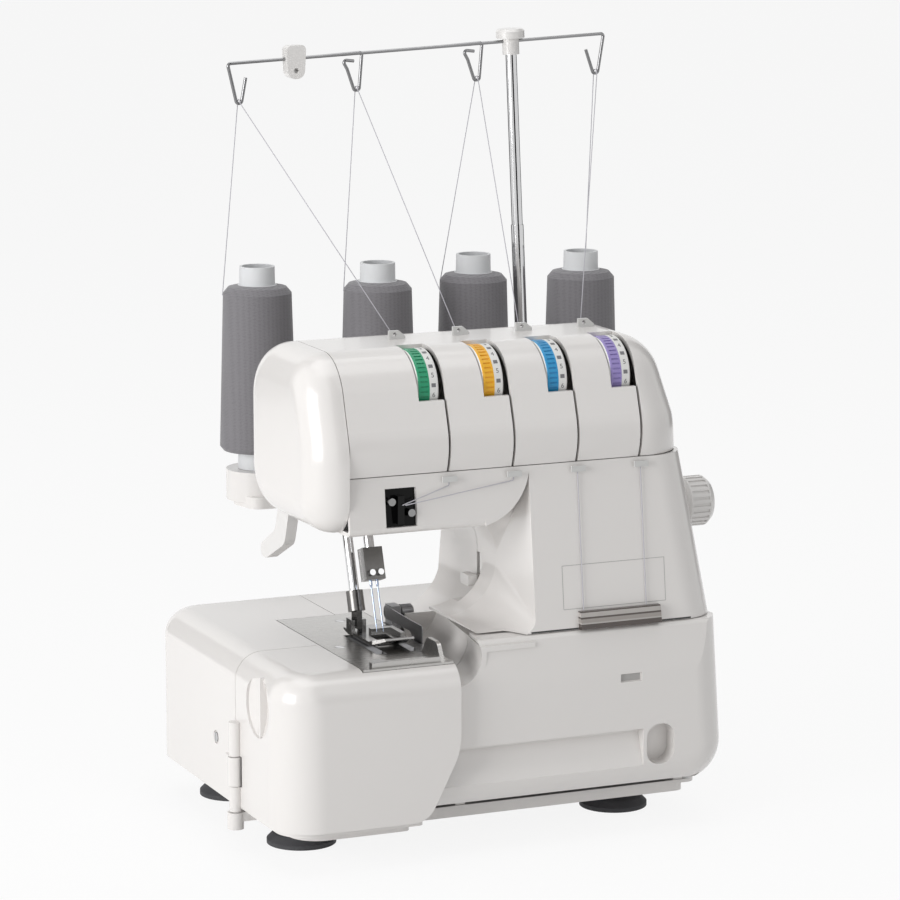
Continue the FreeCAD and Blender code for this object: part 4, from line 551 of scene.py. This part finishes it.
def by_hook(x, drop, back, up):
    """A point behind and above the bottom of a hook, on the leaning pole."""
    return POLE_FOOT + POLE_LEAN @ (Vector((x, back, GUIDE_LEVEL - drop + up)) * MM)


def shortened(piece, moving):
    """The run is fixed to the machine and given a mesh of its own."""
    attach(piece, "machine")
    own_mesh(piece)


for i, ((hook_x, drop), groove, leaves) in enumerate(zip(HOOKS, GROOVES, LEAVING), start=1):
    low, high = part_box("thread_cone_%d" % i)
    middle = (Vector(low) + Vector(high)) / 2
    start = Vector((middle.x, middle.y, CONE_RISE)) + leaves * CONE_SIDE
    end = Vector((groove + EYE_SIDE, EYE_FRONT, ARM_TOP + EYE_RISE)) * MM
    arc = []
    for step in range(WRAP_STEPS + 1):
        turn = math.pi * step / WRAP_STEPS
        arc.append(by_hook(hook_x, drop, WRAPPED * math.cos(turn), WRAPPED * math.sin(turn)))
    rise = thread_piece("thread_rise_%d" % i, [start, arc[0]])
    shortened(rise, arc[0])
    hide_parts("supply_threads")
    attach(thread_piece("thread_wrap_%d" % i, arc), "thread_pole")
    shortened(thread_piece("thread_fall_%d" % i, [arc[-1], end]), arc[-1])

# Floor.
REACH = 16
FLOOR_GLOW = 0.88
floor_mesh = bpy.data.meshes.new("floor")
floor_corners = [(-REACH, -REACH, 0), (REACH, -REACH, 0), (REACH, REACH, 0), (-REACH, REACH, 0)]
floor_mesh.from_pydata(floor_corners, [], [(0, 1, 2, 3)])
floor = add_object("floor", floor_mesh)
floor_paint, tree, shader = new_material("floor_paint")
shader.inputs["Base Color"].default_value = (0.9, 0.9, 0.9, 1)
shader.inputs["Roughness"].default_value = 0.9
shader.inputs["Specular IOR Level"].default_value = 0.1
glow = tree.nodes.new("ShaderNodeEmission")
lit = bright_to_lens(tree, shader, glow, FLOOR_GLOW)
tree.links.new(lit.outputs[0], tree.nodes["Material Output"].inputs["Surface"])
wear(floor, floor_paint)

# Dark cards round the studio, which only mirrors show: each one's turn from the lens and width, in degrees.
CARDS = (("card_front", 26, 30), ("card_left", -128, 26), ("card_right", 138, 26))
CARD_FAR = 1.5
CARD_LOW, CARD_TALL = 0.01, 4.0
card_paint, tree, shader = new_material("card_paint")
shader.inputs["Base Color"].default_value = (0.02, 0.02, 0.02, 1)
shader.inputs["Roughness"].default_value = 1.0
lens_way = math.atan2(CAMERA_AT.y, CAMERA_AT.x)
for name, card_turn, wide in CARDS:
    corners = []
    for edge in (-0.5, 0.5):
        turn = lens_way + math.radians(card_turn + wide * edge)
        for level in (CARD_LOW, CARD_TALL):
            corners.append((CARD_FAR * math.cos(turn), CARD_FAR * math.sin(turn), level))
    card_mesh = bpy.data.meshes.new(name)
    card_mesh.from_pydata(corners, [], [(0, 2, 3, 1)])
    card = add_object(name, card_mesh)
    card.visible_camera = False
    card.visible_diffuse = False
    card.visible_shadow = False
    card.visible_transmission = False
    wear(card, card_paint)
